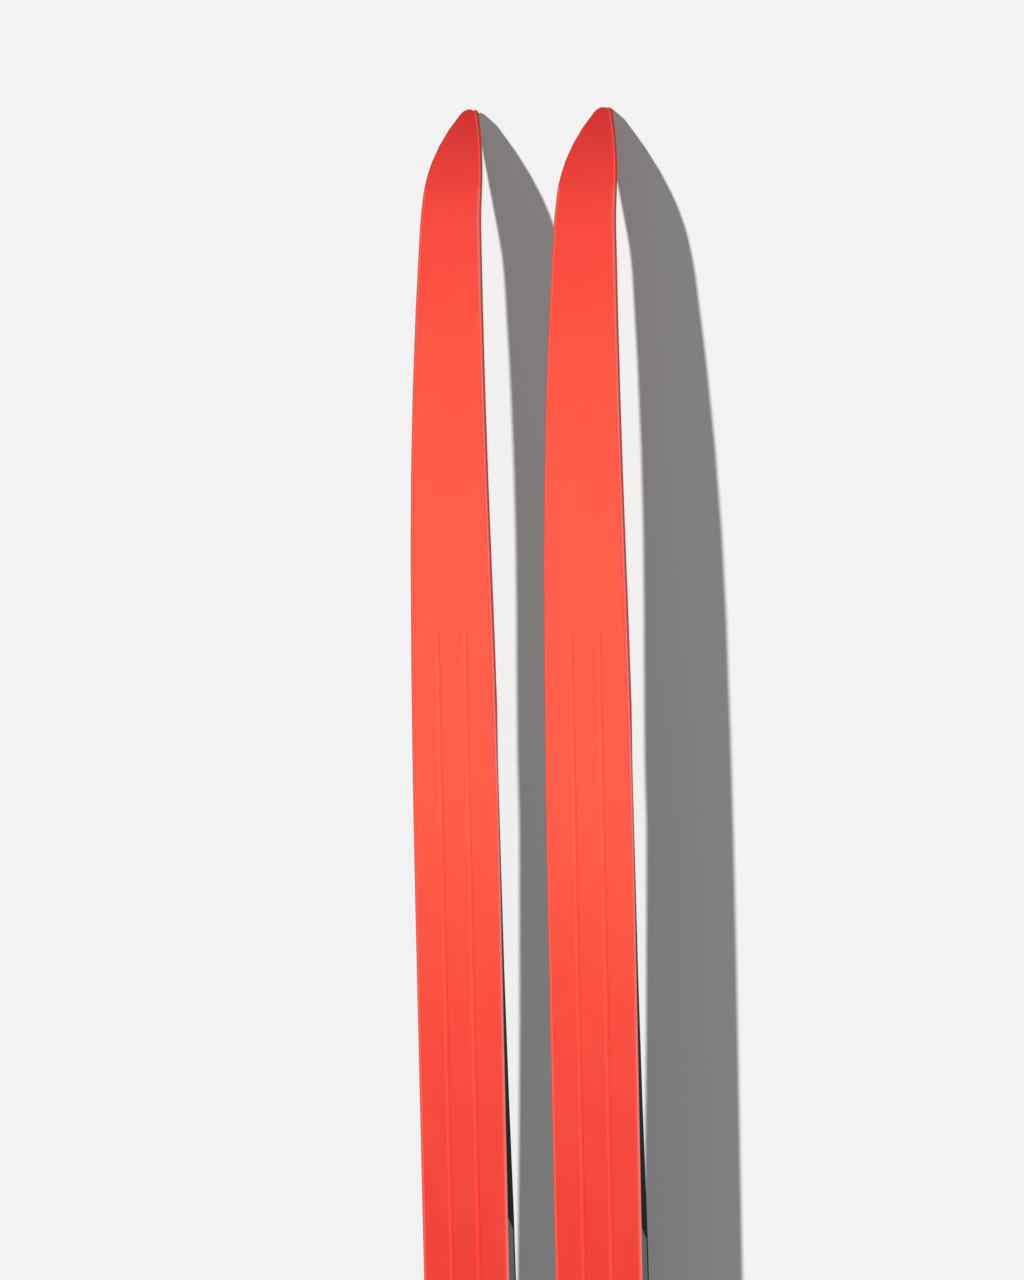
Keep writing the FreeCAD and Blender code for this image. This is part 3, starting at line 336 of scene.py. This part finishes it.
def bare_metal(name, dark, light, stretch, gloss=0.3):
    """Bare or plated metal: brushed one way, with darker spots where grease and dirt have settled."""
    g = Graph(name)
    normal = g.rounded(0.0003)
    brush = g.noise(1.0, stretch, detail=3.0)
    dirt = g.noise(150.0, detail=5.0, roughness=0.65)
    colour = g.blend(brush, dark, light)
    colour = g.blend(g.spread(dirt, 0.56, 0.78, 0.0, 0.55), colour, (0.12, 0.11, 0.10))
    return g.finish(Base_Color=colour, Metallic=1.0, Normal=g.bump(brush, 0.00002, normal),
                    Roughness=g.spread(brush, 0.2, 0.8, gloss - 0.06, gloss + 0.1))


def slick_pad():
    """Pale low-friction pad: smooth, a little translucent, with faint grey rub marks across it."""
    g = Graph("slick_pad")
    normal = g.rounded(0.0004)
    rub = g.noise(1.0, (60, 900, 60), detail=5.0, roughness=0.7)
    colour = g.blend(g.spread(rub, 0.45, 0.75, 0.0, 0.6), (0.66, 0.66, 0.63), (0.34, 0.34, 0.33))
    return g.finish(Base_Color=colour, Roughness=0.26, Normal=g.bump(rub, 0.00002, normal),
                    Subsurface_Weight=0.1, Subsurface_Radius=(0.001, 0.001, 0.001))


def rubber():
    """Black tread rubber, matt, with pale dust in its grain."""
    g = Graph("rubber")
    normal = g.rounded(0.0004)
    grain = g.cells(2200.0)
    dust = g.noise(120.0, detail=5.0, roughness=0.7)
    colour = g.blend(g.spread(dust, 0.5, 0.8, 0.0, 0.35), (0.016, 0.016, 0.017), (0.11, 0.105, 0.10))
    return g.finish(Base_Color=colour, Roughness=0.78, Normal=g.bump(grain, 0.00004, normal))


def clear_lens():
    """Clear window plastic with hairline scratches."""
    g = Graph("clear_lens")
    hair = g.noise(1.0, (200, 3000, 200), detail=3.0)
    return g.finish(Base_Color=(0.92, 0.95, 0.96), Transmission_Weight=0.94, IOR=1.49,
                    Roughness=g.spread(hair, 0.55, 0.8, 0.03, 0.22))


def mark_paint():
    """Off-white pad-printed paint for scale marks, slightly broken up."""
    g = Graph("mark_paint")
    broken = g.noise(1600.0, detail=3.0)
    colour = g.blend(g.spread(broken, 0.5, 0.75, 0.0, 0.5), (0.74, 0.74, 0.72), (0.40, 0.40, 0.40))
    return g.finish(Base_Color=colour, Roughness=0.55, Normal=g.bump(broken, 0.00001))


def slot_materials():
    """The finish of each of the record's material slots."""
    black = ((0.016, 0.016, 0.018), (0.030, 0.030, 0.033))
    red = ((0.46, 0.022, 0.014), (0.58, 0.036, 0.022))
    return {
        "red_base": red_base(),
        "edge_steel": edge_steel(),
        "wood": wood(),
        "laminate": laminate(),
        "cap": cap(),
        "sidewall": sidewall(),
        "tail_plastic": moulded("tail_plastic", *black),
        "riser": moulded("riser", (0.022, 0.022, 0.024), (0.040, 0.040, 0.043), grain=1000.0),
        "screw_steel": bare_metal("screw_steel", (0.42, 0.42, 0.43), (0.70, 0.70, 0.71), (900, 900, 300)),
        "toe_alloy": painted_alloy("toe_alloy", (0.030, 0.030, 0.034), (0.055, 0.055, 0.060)),
        "housing": moulded("housing", *red, grain=1700.0, gloss=0.34, edge=(0.80, 0.22, 0.16)),
        "pin_steel": bare_metal("pin_steel", (0.40, 0.40, 0.41), (0.62, 0.62, 0.63), (300, 300, 2400),
                                gloss=0.24),
        "wing": moulded("wing", *black, grain=1200.0, gloss=0.38),
        "spring_steel": bare_metal("spring_steel", (0.20, 0.20, 0.21), (0.40, 0.40, 0.41),
                                   (1200, 1200, 1200)),
        "pointer": bare_metal("pointer", (0.62, 0.46, 0.17), (0.82, 0.66, 0.32), (800, 800, 800)),
        "afd": slick_pad(),
        "track_alloy": bare_metal("track_alloy", (0.46, 0.46, 0.48), (0.66, 0.66, 0.68), (1600, 24, 1600)),
        "carriage": moulded("carriage", (0.034, 0.034, 0.038), (0.058, 0.058, 0.062), grain=1100.0),
        "lever": moulded("lever", *black, grain=1300.0, gloss=0.36),
        "bearing": moulded("bearing", *black),
        "pedal": moulded("pedal", (0.034, 0.034, 0.038), (0.056, 0.056, 0.060), grain=1000.0),
        "brake_wire": bare_metal("brake_wire", (0.40, 0.40, 0.42), (0.66, 0.66, 0.67), (1800, 60, 60)),
        "brake_foot": moulded("brake_foot", *red, grain=1300.0, gloss=0.40, edge=(0.78, 0.24, 0.18)),
    }


# ---------------------------------------------------------------- reading the CAD nodes

SKI_CENTRE = sum(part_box("right_running_base")[end].x for end in (0, 1)) / 2


def node_islands(node):
    """(lowest, highest) corner of each separate solid in a CAD node."""
    mesh = bmesh.new()
    mesh.from_mesh(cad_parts[node].data)
    bmesh.ops.remove_doubles(mesh, verts=mesh.verts, dist=1e-6)
    left = set(mesh.verts)
    boxes = []
    while left:
        grown, front = set(), [next(iter(left))]
        while front:
            vert = front.pop()
            if vert in grown:
                continue
            grown.add(vert)
            front.extend(edge.other_vert(vert) for edge in vert.link_edges)
        left -= grown
        places = [vert.co for vert in grown]
        boxes.append((Vector(map(min, zip(*places))), Vector(map(max, zip(*places)))))
    mesh.free()
    return sorted(boxes, key=lambda ends: (round(ends[0].y, 4), ends[0].x))


def flat_patch(node, toward):
    """The largest flat face of a CAD node that faces toward.

    It comes as (centre, across, along, out, half width, half length).
    """
    toward = Vector(toward).normalized()
    groups = {}
    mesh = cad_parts[node].data
    for polygon in mesh.polygons:
        if polygon.normal.dot(toward) < 0.9:
            continue
        corners = [mesh.vertices[i].co for i in polygon.vertices]
        key = (tuple(round(x, 2) for x in polygon.normal), round(polygon.normal.dot(corners[0]), 4))
        group = groups.setdefault(key, [0.0, []])
        group[0] += polygon.area
        group[1].extend(corners)
    (normal, _), (_, corners) = max(groups.items(), key=lambda item: item[1][0])
    out = Vector(normal).normalized()
    across = Vector((0, 1, 0)).cross(out).normalized()
    if across.length < 0.5:
        across = Vector((1, 0, 0))
    along = out.cross(across)
    axes = (across, along, out)
    spans = [(min(c.dot(axis) for c in corners), max(c.dot(axis) for c in corners)) for axis in axes]
    middle = sum((axis * (low + high) / 2 for axis, (low, high) in zip(axes, spans)), Vector())
    halves = [(high - low) / 2 for low, high in spans[:2]]
    return middle, across, along, out, halves[0], halves[1]


# ---------------------------------------------------------------- mesh building

def new_piece(name, mesh, material, body, smooth=35.0, bevel=0.0):
    """Makes an object of a bmesh, rounds its edges and sets it riding on a CAD body."""
    data = bpy.data.meshes.new(name)
    bmesh.ops.recalc_face_normals(mesh, faces=mesh.faces)
    mesh.to_mesh(data)
    mesh.free()
    data.materials.append(material)
    piece = bpy.data.objects.new(name, data)
    bpy.context.scene.collection.objects.link(piece)
    if bevel:
        rounding = piece.modifiers.new("rounding", "BEVEL")
        rounding.width = bevel
        rounding.segments = 3
        rounding.limit_method = "ANGLE"
        rounding.angle_limit = math.radians(30)
    data.shade_smooth()
    data.set_sharp_from_angle(angle=math.radians(smooth))
    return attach(piece, body)


def add_block(mesh, middle, axes, halves, taper=1.0):
    """A block with these half sizes along three axes; taper narrows its far face on the third."""
    across, along, out = axes
    verts = []
    for c in (-1, 1):
        share = taper if c > 0 else 1.0
        for a, b in ((-1, -1), (1, -1), (1, 1), (-1, 1)):
            flat = across * (a * halves[0] * share) + along * (b * halves[1] * share)
            verts.append(mesh.verts.new(middle + (flat + out * (c * halves[2]))))
    mesh.faces.new(verts[3::-1])
    mesh.faces.new(verts[4:])
    for i in range(4):
        j = (i + 1) % 4
        mesh.faces.new((verts[i], verts[j], verts[4 + j], verts[4 + i]))


def add_turned(mesh, base, out, profile, sides):
    """A turned solid about out through base; profile is (radius, height) from bottom to top middle."""
    side = out.orthogonal().normalized()
    other = out.cross(side)
    rings = []
    for radius, height in profile:
        if radius < 1e-7:
            rings.append([mesh.verts.new(base + out * height)])
            continue
        ring = []
        for i in range(sides):
            turn = 2 * math.pi * i / sides
            spot = side * (math.cos(turn) * radius) + other * (math.sin(turn) * radius)
            ring.append(mesh.verts.new(base + spot + out * height))
        rings.append(ring)
    for lower, upper in zip(rings, rings[1:]):
        for i in range(sides):
            j = (i + 1) % sides
            below = [lower[i % len(lower)], lower[j % len(lower)]]
            above = [upper[j % len(upper)], upper[i % len(upper)]]
            mesh.faces.new(list(dict.fromkeys(below + above)))


def add_cross_head(mesh, top, radius, depth, turn):
    """A raised-countersunk screw head with a cross recess, its rim at top and its shank below."""
    rings = 14
    sides = 64
    arm = radius * 0.14
    reach = radius * 0.56
    crown = radius * 0.16
    centre_vert = mesh.verts.new(top + Vector((0, 0, -depth * 0.75)))
    previous = [centre_vert] * sides
    for ring in range(1, rings + 1):
        r = radius * ring / rings
        verts = []
        for i in range(sides):
            angle = 2 * math.pi * i / sides
            x, y = r * math.cos(angle), r * math.sin(angle)
            rise = crown * (1 - (r / radius) ** 2) - crown * 0.4 * (ring == rings)
            inside = min(abs(x), abs(y)) < arm * (1.25 - 0.5 * r / reach) and r < reach
            sink = depth * (0.75 - 0.35 * r / reach) if inside else 0.0
            spot = Matrix.Rotation(turn, 3, "Z") @ Vector((x, y, rise - sink))
            verts.append(mesh.verts.new(top + spot))
        for i in range(sides):
            j = (i + 1) % sides
            mesh.faces.new(list(dict.fromkeys((previous[i], verts[i], verts[j], previous[j]))))
        previous = verts
    foot = [mesh.verts.new(vert.co - Vector((0, 0, depth * 1.6))) for vert in previous]
    for i in range(sides):
        j = (i + 1) % sides
        mesh.faces.new((previous[i], foot[i], foot[j], previous[j]))
    mesh.faces.new(foot[::-1])


def screw_heads(side, finish):
    """Cross-recess heads in place of the plain mounting screws."""
    mesh = bmesh.new()
    for index, (low, high) in enumerate(node_islands(f"{side}_mounting_screws")):
        radius = (high.x - low.x) / 2
        top = Vector(((low.x + high.x) / 2, (low.y + high.y) / 2, high.z - radius * 0.16))
        add_cross_head(mesh, top, radius, 1.7 * MM, math.radians(23 + 37 * index))
    piece = new_piece(f"{side}_screw_heads", mesh, finish["screw_steel"], f"{side}_ski", smooth=40)
    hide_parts(f"{side}_mounting_screws")


def rib_row(name, patch, body, material, count, reach, size, shifts=(0.0,), clear_of=()):
    """Rows of count ribs across a flat patch, over reach of its length, one row at each sideways shift.

    size is (share of the half width, thickness, height). Ribs close to a clear_of spot are left out.
    """
    clear_along, clear_across = 7 * MM, 12 * MM
    middle, across, along, out, half_width, half_length = patch
    mesh = bmesh.new()
    share, thickness, height = size
    for shift in shifts:
        for i in range(count):
            offset = (reach[0] + (reach[1] - reach[0]) * (i + 0.5) / count) * half_length
            spot = middle + across * (shift * half_width) + along * offset + out * (height * 0.4)
            gaps = [(abs(keep.x - spot.x), abs(keep.y - spot.y)) for keep in clear_of]
            if any(x < clear_across and y < clear_along for x, y in gaps):
                continue
            halves = (half_width * share, thickness / 2, height * 0.6)
            add_block(mesh, spot, (across, along, out), halves, taper=0.94)
    piece = new_piece(name, mesh, material, body, bevel=min(thickness, height) * 0.3)
    return piece


def stud_field(name, patch, body, material, columns, rows, share, radius, height):
    """Small domed studs in a staggered field on a flat patch."""
    middle, across, along, out, half_width, half_length = patch
    mesh = bmesh.new()
    root = -0.3 * MM
    dome = [(radius * 0.96, height * 0.45), (radius * 0.72, height * 0.9), (0, height)]
    profile = [(0, root), (radius, root), *dome]
    for row in range(rows):
        for column in range(columns):
            shift = 0.5 * (row % 2)
            x = (2 * (column + 0.5 + shift) / (columns + 0.5) - 1) * half_width * share
            y = (2 * (row + 0.5) / rows - 1) * half_length * share
            add_turned(mesh, middle + across * x + along * y, out, profile, sides=16)
    piece = new_piece(name, mesh, material, body, smooth=60)
    return piece


# ---------------------------------------------------------------- stage, lights and camera

CAMERA_SPOT = Vector((1.9030, -1.1248, -3.7738))
CAMERA_TURNS = (math.radians(-6.154), math.radians(-26.689), math.radians(1.394))
FOCAL_LENGTH = 168.75
SENSOR_WIDTH = 36.0
WHITE = (1.0, 1.0, 1.0)
DOME_GLOW = 0.888
AMBIENT = 0.35
AMBIENT_ON_WALL = 0.85
WALL_ALBEDO = 0.20
WALL_SHADOW = 0.212
FLOOR_ALBEDO = 0.25
FLOOR_GLOW = 0.45
KEY_SPOT = (-1.2, -1.5, 2.6)
KEY_SIZE = 8.0


def grey(level):
    """A neutral colour of this level."""
    return (level, level, level)


def hide_from_light(sheet):
    """Only the camera sees the sheet: it throws no shadow and adds no bounce or reflection."""
    for kind in ("diffuse", "glossy", "transmission", "shadow", "volume_scatter"):
        setattr(sheet, f"visible_{kind}", False)


def one_sided(name, colour, glow):
    """A stage surface seen only from its front; light and sight pass through its back."""
    g = Graph(name)
    diffuse = g.add("ShaderNodeBsdfDiffuse", {"Color": colour}).outputs[0]
    light = g.add("ShaderNodeEmission", {"Color": WHITE, "Strength": glow}).outputs[0]
    front = g.add("ShaderNodeAddShader", {0: diffuse, 1: light}).outputs[0]
    back = g.nodes.new("ShaderNodeBsdfTransparent").outputs[0]
    behind = g.nodes.new("ShaderNodeNewGeometry").outputs["Backfacing"]
    mixed = g.add("ShaderNodeMixShader", {0: behind, 1: front, 2: back}).outputs[0]
    g.links.new(mixed, g.output.inputs["Surface"])
    return g.material


def stage_sheet(name, corners, material):
    """A stage surface through these corners; its front is the side from which they run anticlockwise."""
    data = bpy.data.meshes.new(name)
    data.from_pydata([tuple(c) for c in corners], [], [tuple(range(len(corners)))])
    data.materials.append(material)
    sheet = bpy.data.objects.new(name, data)
    bpy.context.scene.collection.objects.link(sheet)
    hide_from_light(sheet)
    return sheet


def build_floor():
    """The pale floor under the skis, seen from above."""
    gap = 0.0004
    level = CAD_BOX[0].z - gap
    reach = 40.0
    corners = [(-reach, -reach, level), (reach, -reach, level), (reach, reach, level), (-reach, reach, level)]
    return stage_sheet("floor", corners, one_sided("floor_paint", grey(FLOOR_ALBEDO), FLOOR_GLOW))


def build_wall():
    """The pale wall behind the tips, seen only from the bases' side."""
    height_at_tip, lengthwise, crosswise = 0.0545, 0.0007, -0.0284
    reach = 1.6
    front, back = TIP_Y - reach, 0.4

    def corner(x, y):
        return (x, y, height_at_tip + lengthwise * (y - TIP_Y) + crosswise * x)

    corners = [corner(-reach, front), corner(-reach, back), corner(reach, back), corner(reach, front)]
    glow = WALL_SHADOW - WALL_ALBEDO * AMBIENT * AMBIENT_ON_WALL
    return stage_sheet("wall", corners, one_sided("wall_paint", grey(WALL_ALBEDO), glow))


def build_dome():
    """A plain pale dome round the stage, for the view above the floor's edge."""
    radius = 60.0
    mesh = bmesh.new()
    bmesh.ops.create_icosphere(mesh, subdivisions=4, radius=radius)
    data = bpy.data.meshes.new("dome")
    mesh.to_mesh(data)
    mesh.free()
    g = Graph("dome_glow")
    glow = g.add("ShaderNodeEmission", {"Color": WHITE, "Strength": DOME_GLOW}).outputs[0]
    g.links.new(glow, g.output.inputs["Surface"])
    data.materials.append(g.material)
    dome = bpy.data.objects.new("dome", data)
    bpy.context.scene.collection.objects.link(dome)
    hide_from_light(dome)


def add_light(name, kind, strength, spot, aim, size):
    """A light at spot that points at aim; size is a sun's angle in degrees, or a panel's (width, length)."""
    data = bpy.data.lights.new(name, kind)
    data.energy = strength
    data.color = WHITE
    if kind == "SUN":
        data.angle = math.radians(size)
    else:
        data.shape = "RECTANGLE"
        data.size, data.size_y = size
    light = bpy.data.objects.new(name, data)
    light.location = spot
    light.rotation_mode = "QUATERNION"
    light.rotation_quaternion = (Vector(aim) - Vector(spot)).to_track_quat("-Z", "Y")
    bpy.context.scene.collection.objects.link(light)
    return light


def light_only(light, name, objects):
    """The light falls on these objects alone."""
    group = bpy.data.collections.new(name)
    for item in objects:
        group.objects.link(item)
    light.light_linking.receiver_collection = group
    return group


def light_all_but(light, name, objects):
    """The light falls on everything except these objects."""
    for member in light_only(light, name, objects).collection_objects:
        member.light_linking.link_state = "EXCLUDE"


def build_world():
    """Even soft light from all round."""
    world = bpy.data.worlds.new("studio")
    world.use_nodes = True
    background = world.node_tree.nodes["Background"]
    background.inputs["Color"].default_value = (*WHITE, 1.0)
    background.inputs["Strength"].default_value = AMBIENT
    bpy.context.scene.world = world


def build_lights(wall, floor):
    """Keys for the wall's hard shadows, the bases, the floor and the top, and two panels for the top."""
    middle = (0.0, 0.0, 0.0)
    shadow_way = Vector((1.087, 0.861, 1.0)).normalized()
    tip = Vector((0.0, TIP_Y, 0.0))
    wall_key = add_light("wall_key", "SUN", 17.6, tip - shadow_way * 3, tip, 2.0)
    light_only(wall_key, "wall_only", [wall])
    base_key = add_light("base_key", "SUN", 4.4, (0.80, 0.28, -0.53), middle, 12.0)
    base_key.data.use_shadow = False
    lit = [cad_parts[f"{side}_{part}"] for side in SIDES for part in ("running_base", "steel_edges")]
    light_only(base_key, "bases_only", lit)
    floor_key = add_light("floor_key", "SUN", 5.3, KEY_SPOT, middle, KEY_SIZE)
    light_only(floor_key, "floor_only", [floor])
    top_key = add_light("top_key", "SUN", 2.6, KEY_SPOT, middle, KEY_SIZE)
    side_panel = add_light("side_panel", "AREA", 22.0, (2.4, 0.5, 1.5), (0.0, 0.1, 0.0), (1.2, 2.6))
    back_panel = add_light("back_panel", "AREA", 22.0, (-1.4, 1.9, 1.6), (0.0, 0.3, 0.0), (1.8, 1.0))
    for light in (top_key, side_panel, back_panel):
        light_all_but(light, f"{light.name}_not_stage", [wall, floor])


def build_camera():
    """The camera below the bases, looking up at the front of the skis."""
    data = bpy.data.cameras.new("camera")
    data.lens = FOCAL_LENGTH
    data.sensor_width = SENSOR_WIDTH
    data.clip_start = 0.01
    data.clip_end = 200.0
    turn = Euler(CAMERA_TURNS, "XYZ").to_matrix()
    right = turn @ Vector((1, 0, 0))
    up = turn @ Vector((0, -1, 0))
    forward = turn @ Vector((0, 0, 1))
    camera = bpy.data.objects.new("camera", data)
    axes = Matrix((right, up, -forward)).transposed().to_4x4()
    camera.matrix_world = Matrix.Translation(CAMERA_SPOT) @ axes
    bpy.context.scene.collection.objects.link(camera)
    bpy.context.scene.camera = camera


# ---------------------------------------------------------------- the build

NODE_SLOTS = {
    "running_base": "red_base", "steel_edges": "edge_steel", "wood_core": "wood", "laminates": "laminate",
    "cap_topsheet": "cap", "sidewalls": "sidewall", "tail_protector": "tail_plastic", "riser_plate": "riser",
    "mounting_screws": "screw_steel", "toe_base": "toe_alloy", "toe_housing": "housing",
    "toe_pivot_pins": "pin_steel", "toe_wing_left": "wing", "toe_wing_right": "wing",
    "toe_spring": "spring_steel", "toe_spring_nut": "pointer", "toe_setting_screw": "screw_steel",
    "afd_plate": "afd", "heel_track": "track_alloy", "heel_carriage": "carriage", "heel_jaw": "housing",
    "heel_pins": "pin_steel", "heel_lever": "lever", "heel_spring": "spring_steel",
    "heel_setting_screw": "screw_steel", "brake_bearings": "bearing", "brake_spring": "spring_steel",
    "brake_pedal": "pedal", "brake_arms": "brake_wire", "brake_feet": "brake_foot",
}


def finish_nodes(finish):
    """Gives each CAD node its finish."""
    for name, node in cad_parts.items():
        part = name.split("_", 1)[1]
        node.data.materials.clear()
        node.data.materials.append(finish[NODE_SLOTS[part]])


def side_patch(node, right):
    """The flat outer side of the left or right solid of a CAD node made of two, as flat_patch gives it."""
    low, high = max(node_islands(node), key=lambda ends: ends[0].x if right else -ends[0].x)
    out = Vector((1 if right else -1, 0, 0))
    middle = (low + high) / 2
    middle.x = high.x if right else low.x
    along = Vector((0, 1, 0))
    return middle, along.cross(out), along, out, (high.z - low.z) / 2, (high.y - low.y) / 2


def ski_details(side, finish):
    """Cross-head screws, the riser's tread, the track's graduations and the tail's ribs."""
    ski = f"{side}_ski"
    screw_heads(side, finish)
    screws = [(low + high) / 2 for low, high in node_islands(f"{side}_mounting_screws")]
    rib_row(f"{side}_riser_tread", flat_patch(f"{side}_riser_plate", UP), ski, RUBBER, 17, (-0.36, 0.16),
            (0.20, 3.0 * MM, 0.6 * MM), shifts=(-0.62, 0.62), clear_of=screws)
    low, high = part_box(f"{side}_heel_track")
    top = Vector(((low.x + high.x) / 2, (low.y + high.y) / 2, high.z))
    axes = (Vector((1, 0, 0)), Vector((0, 1, 0)), Vector(UP))
    rails = (top, *axes, (high.x - low.x) / 2, (high.y - low.y) / 2)
    rib_row(f"{side}_track_marks", rails, ski, MARK_PAINT, 21, (-0.92, 0.92), (0.045, 0.5 * MM, 0.12 * MM),
            shifts=(-0.93, 0.93))
    rib_row(f"{side}_tail_ribs", flat_patch(f"{side}_tail_protector", UP), ski, finish["tail_plastic"], 5,
            (-0.6, 0.6), (0.5, 2.0 * MM, 0.5 * MM))


def toe_details(side, finish):
    """The release scale, the window's lens, the wings' grip pads and the sliding pad's strips."""
    ski = f"{side}_ski"
    slope = flat_patch(f"{side}_toe_housing", UP)
    middle, across, along, out = slope[:4]
    rib_row(f"{side}_scale_marks", slope, ski, MARK_PAINT, 7, (-0.56, 0.28), (0.085, 0.6 * MM, 0.12 * MM),
            shifts=(-0.34, 0.34))
    mesh = bmesh.new()
    window = middle - along * 3.1 * MM - out * 1.2 * MM
    add_block(mesh, window, (across, along, out), (3.9 * MM, 9.8 * MM, 0.4 * MM))
    new_piece(f"{side}_window_lens", mesh, CLEAR_LENS, ski, bevel=0.2 * MM)
    for hand in ("left", "right"):
        wing = f"{side}_toe_wing_{hand}"
        rib_row(f"{wing}_grip", flat_patch(wing, (0, 1, 0)), wing, RUBBER, 3, (-0.8, 0.8),
                (0.72, 1.2 * MM, 0.5 * MM))
    rib_row(f"{side}_afd_strips", flat_patch(f"{side}_afd_plate", UP), f"{side}_afd", finish["afd"], 5,
            (-0.8, 0.8), (0.86, 3.2 * MM, 0.4 * MM))


def heel_details(side, finish):
    """Grips on the heel lever and the brake pedal, and ribs on the brake feet."""
    rib_row(f"{side}_lever_grip", flat_patch(f"{side}_heel_lever", UP), f"{side}_heel_lever", RUBBER, 6,
            (0.2, 0.85), (0.7, 2.2 * MM, 0.6 * MM))
    stud_field(f"{side}_pedal_studs", flat_patch(f"{side}_brake_pedal", UP), f"{side}_brake", RUBBER,
               5, 7, 0.8, 1.5 * MM, 0.8 * MM)
    for hand in ("left", "right"):
        patch = side_patch(f"{side}_brake_feet", hand == "right")
        rib_row(f"{side}_{hand}_foot_ribs", patch, f"{side}_brake", finish["brake_foot"], 5, (-0.5, 0.5),
                (0.34, 1.4 * MM, 0.5 * MM))


FINISH = slot_materials()
RUBBER = rubber()
MARK_PAINT = mark_paint()
CLEAR_LENS = clear_lens()
finish_nodes(FINISH)
for ski_side in SIDES:
    ski_details(ski_side, FINISH)
    toe_details(ski_side, FINISH)
    heel_details(ski_side, FINISH)

ground = build_floor()
back_wall = build_wall()
build_dome()
build_world()
build_lights(back_wall, ground)
build_camera()
bpy.context.scene.view_settings.view_transform = "Standard"
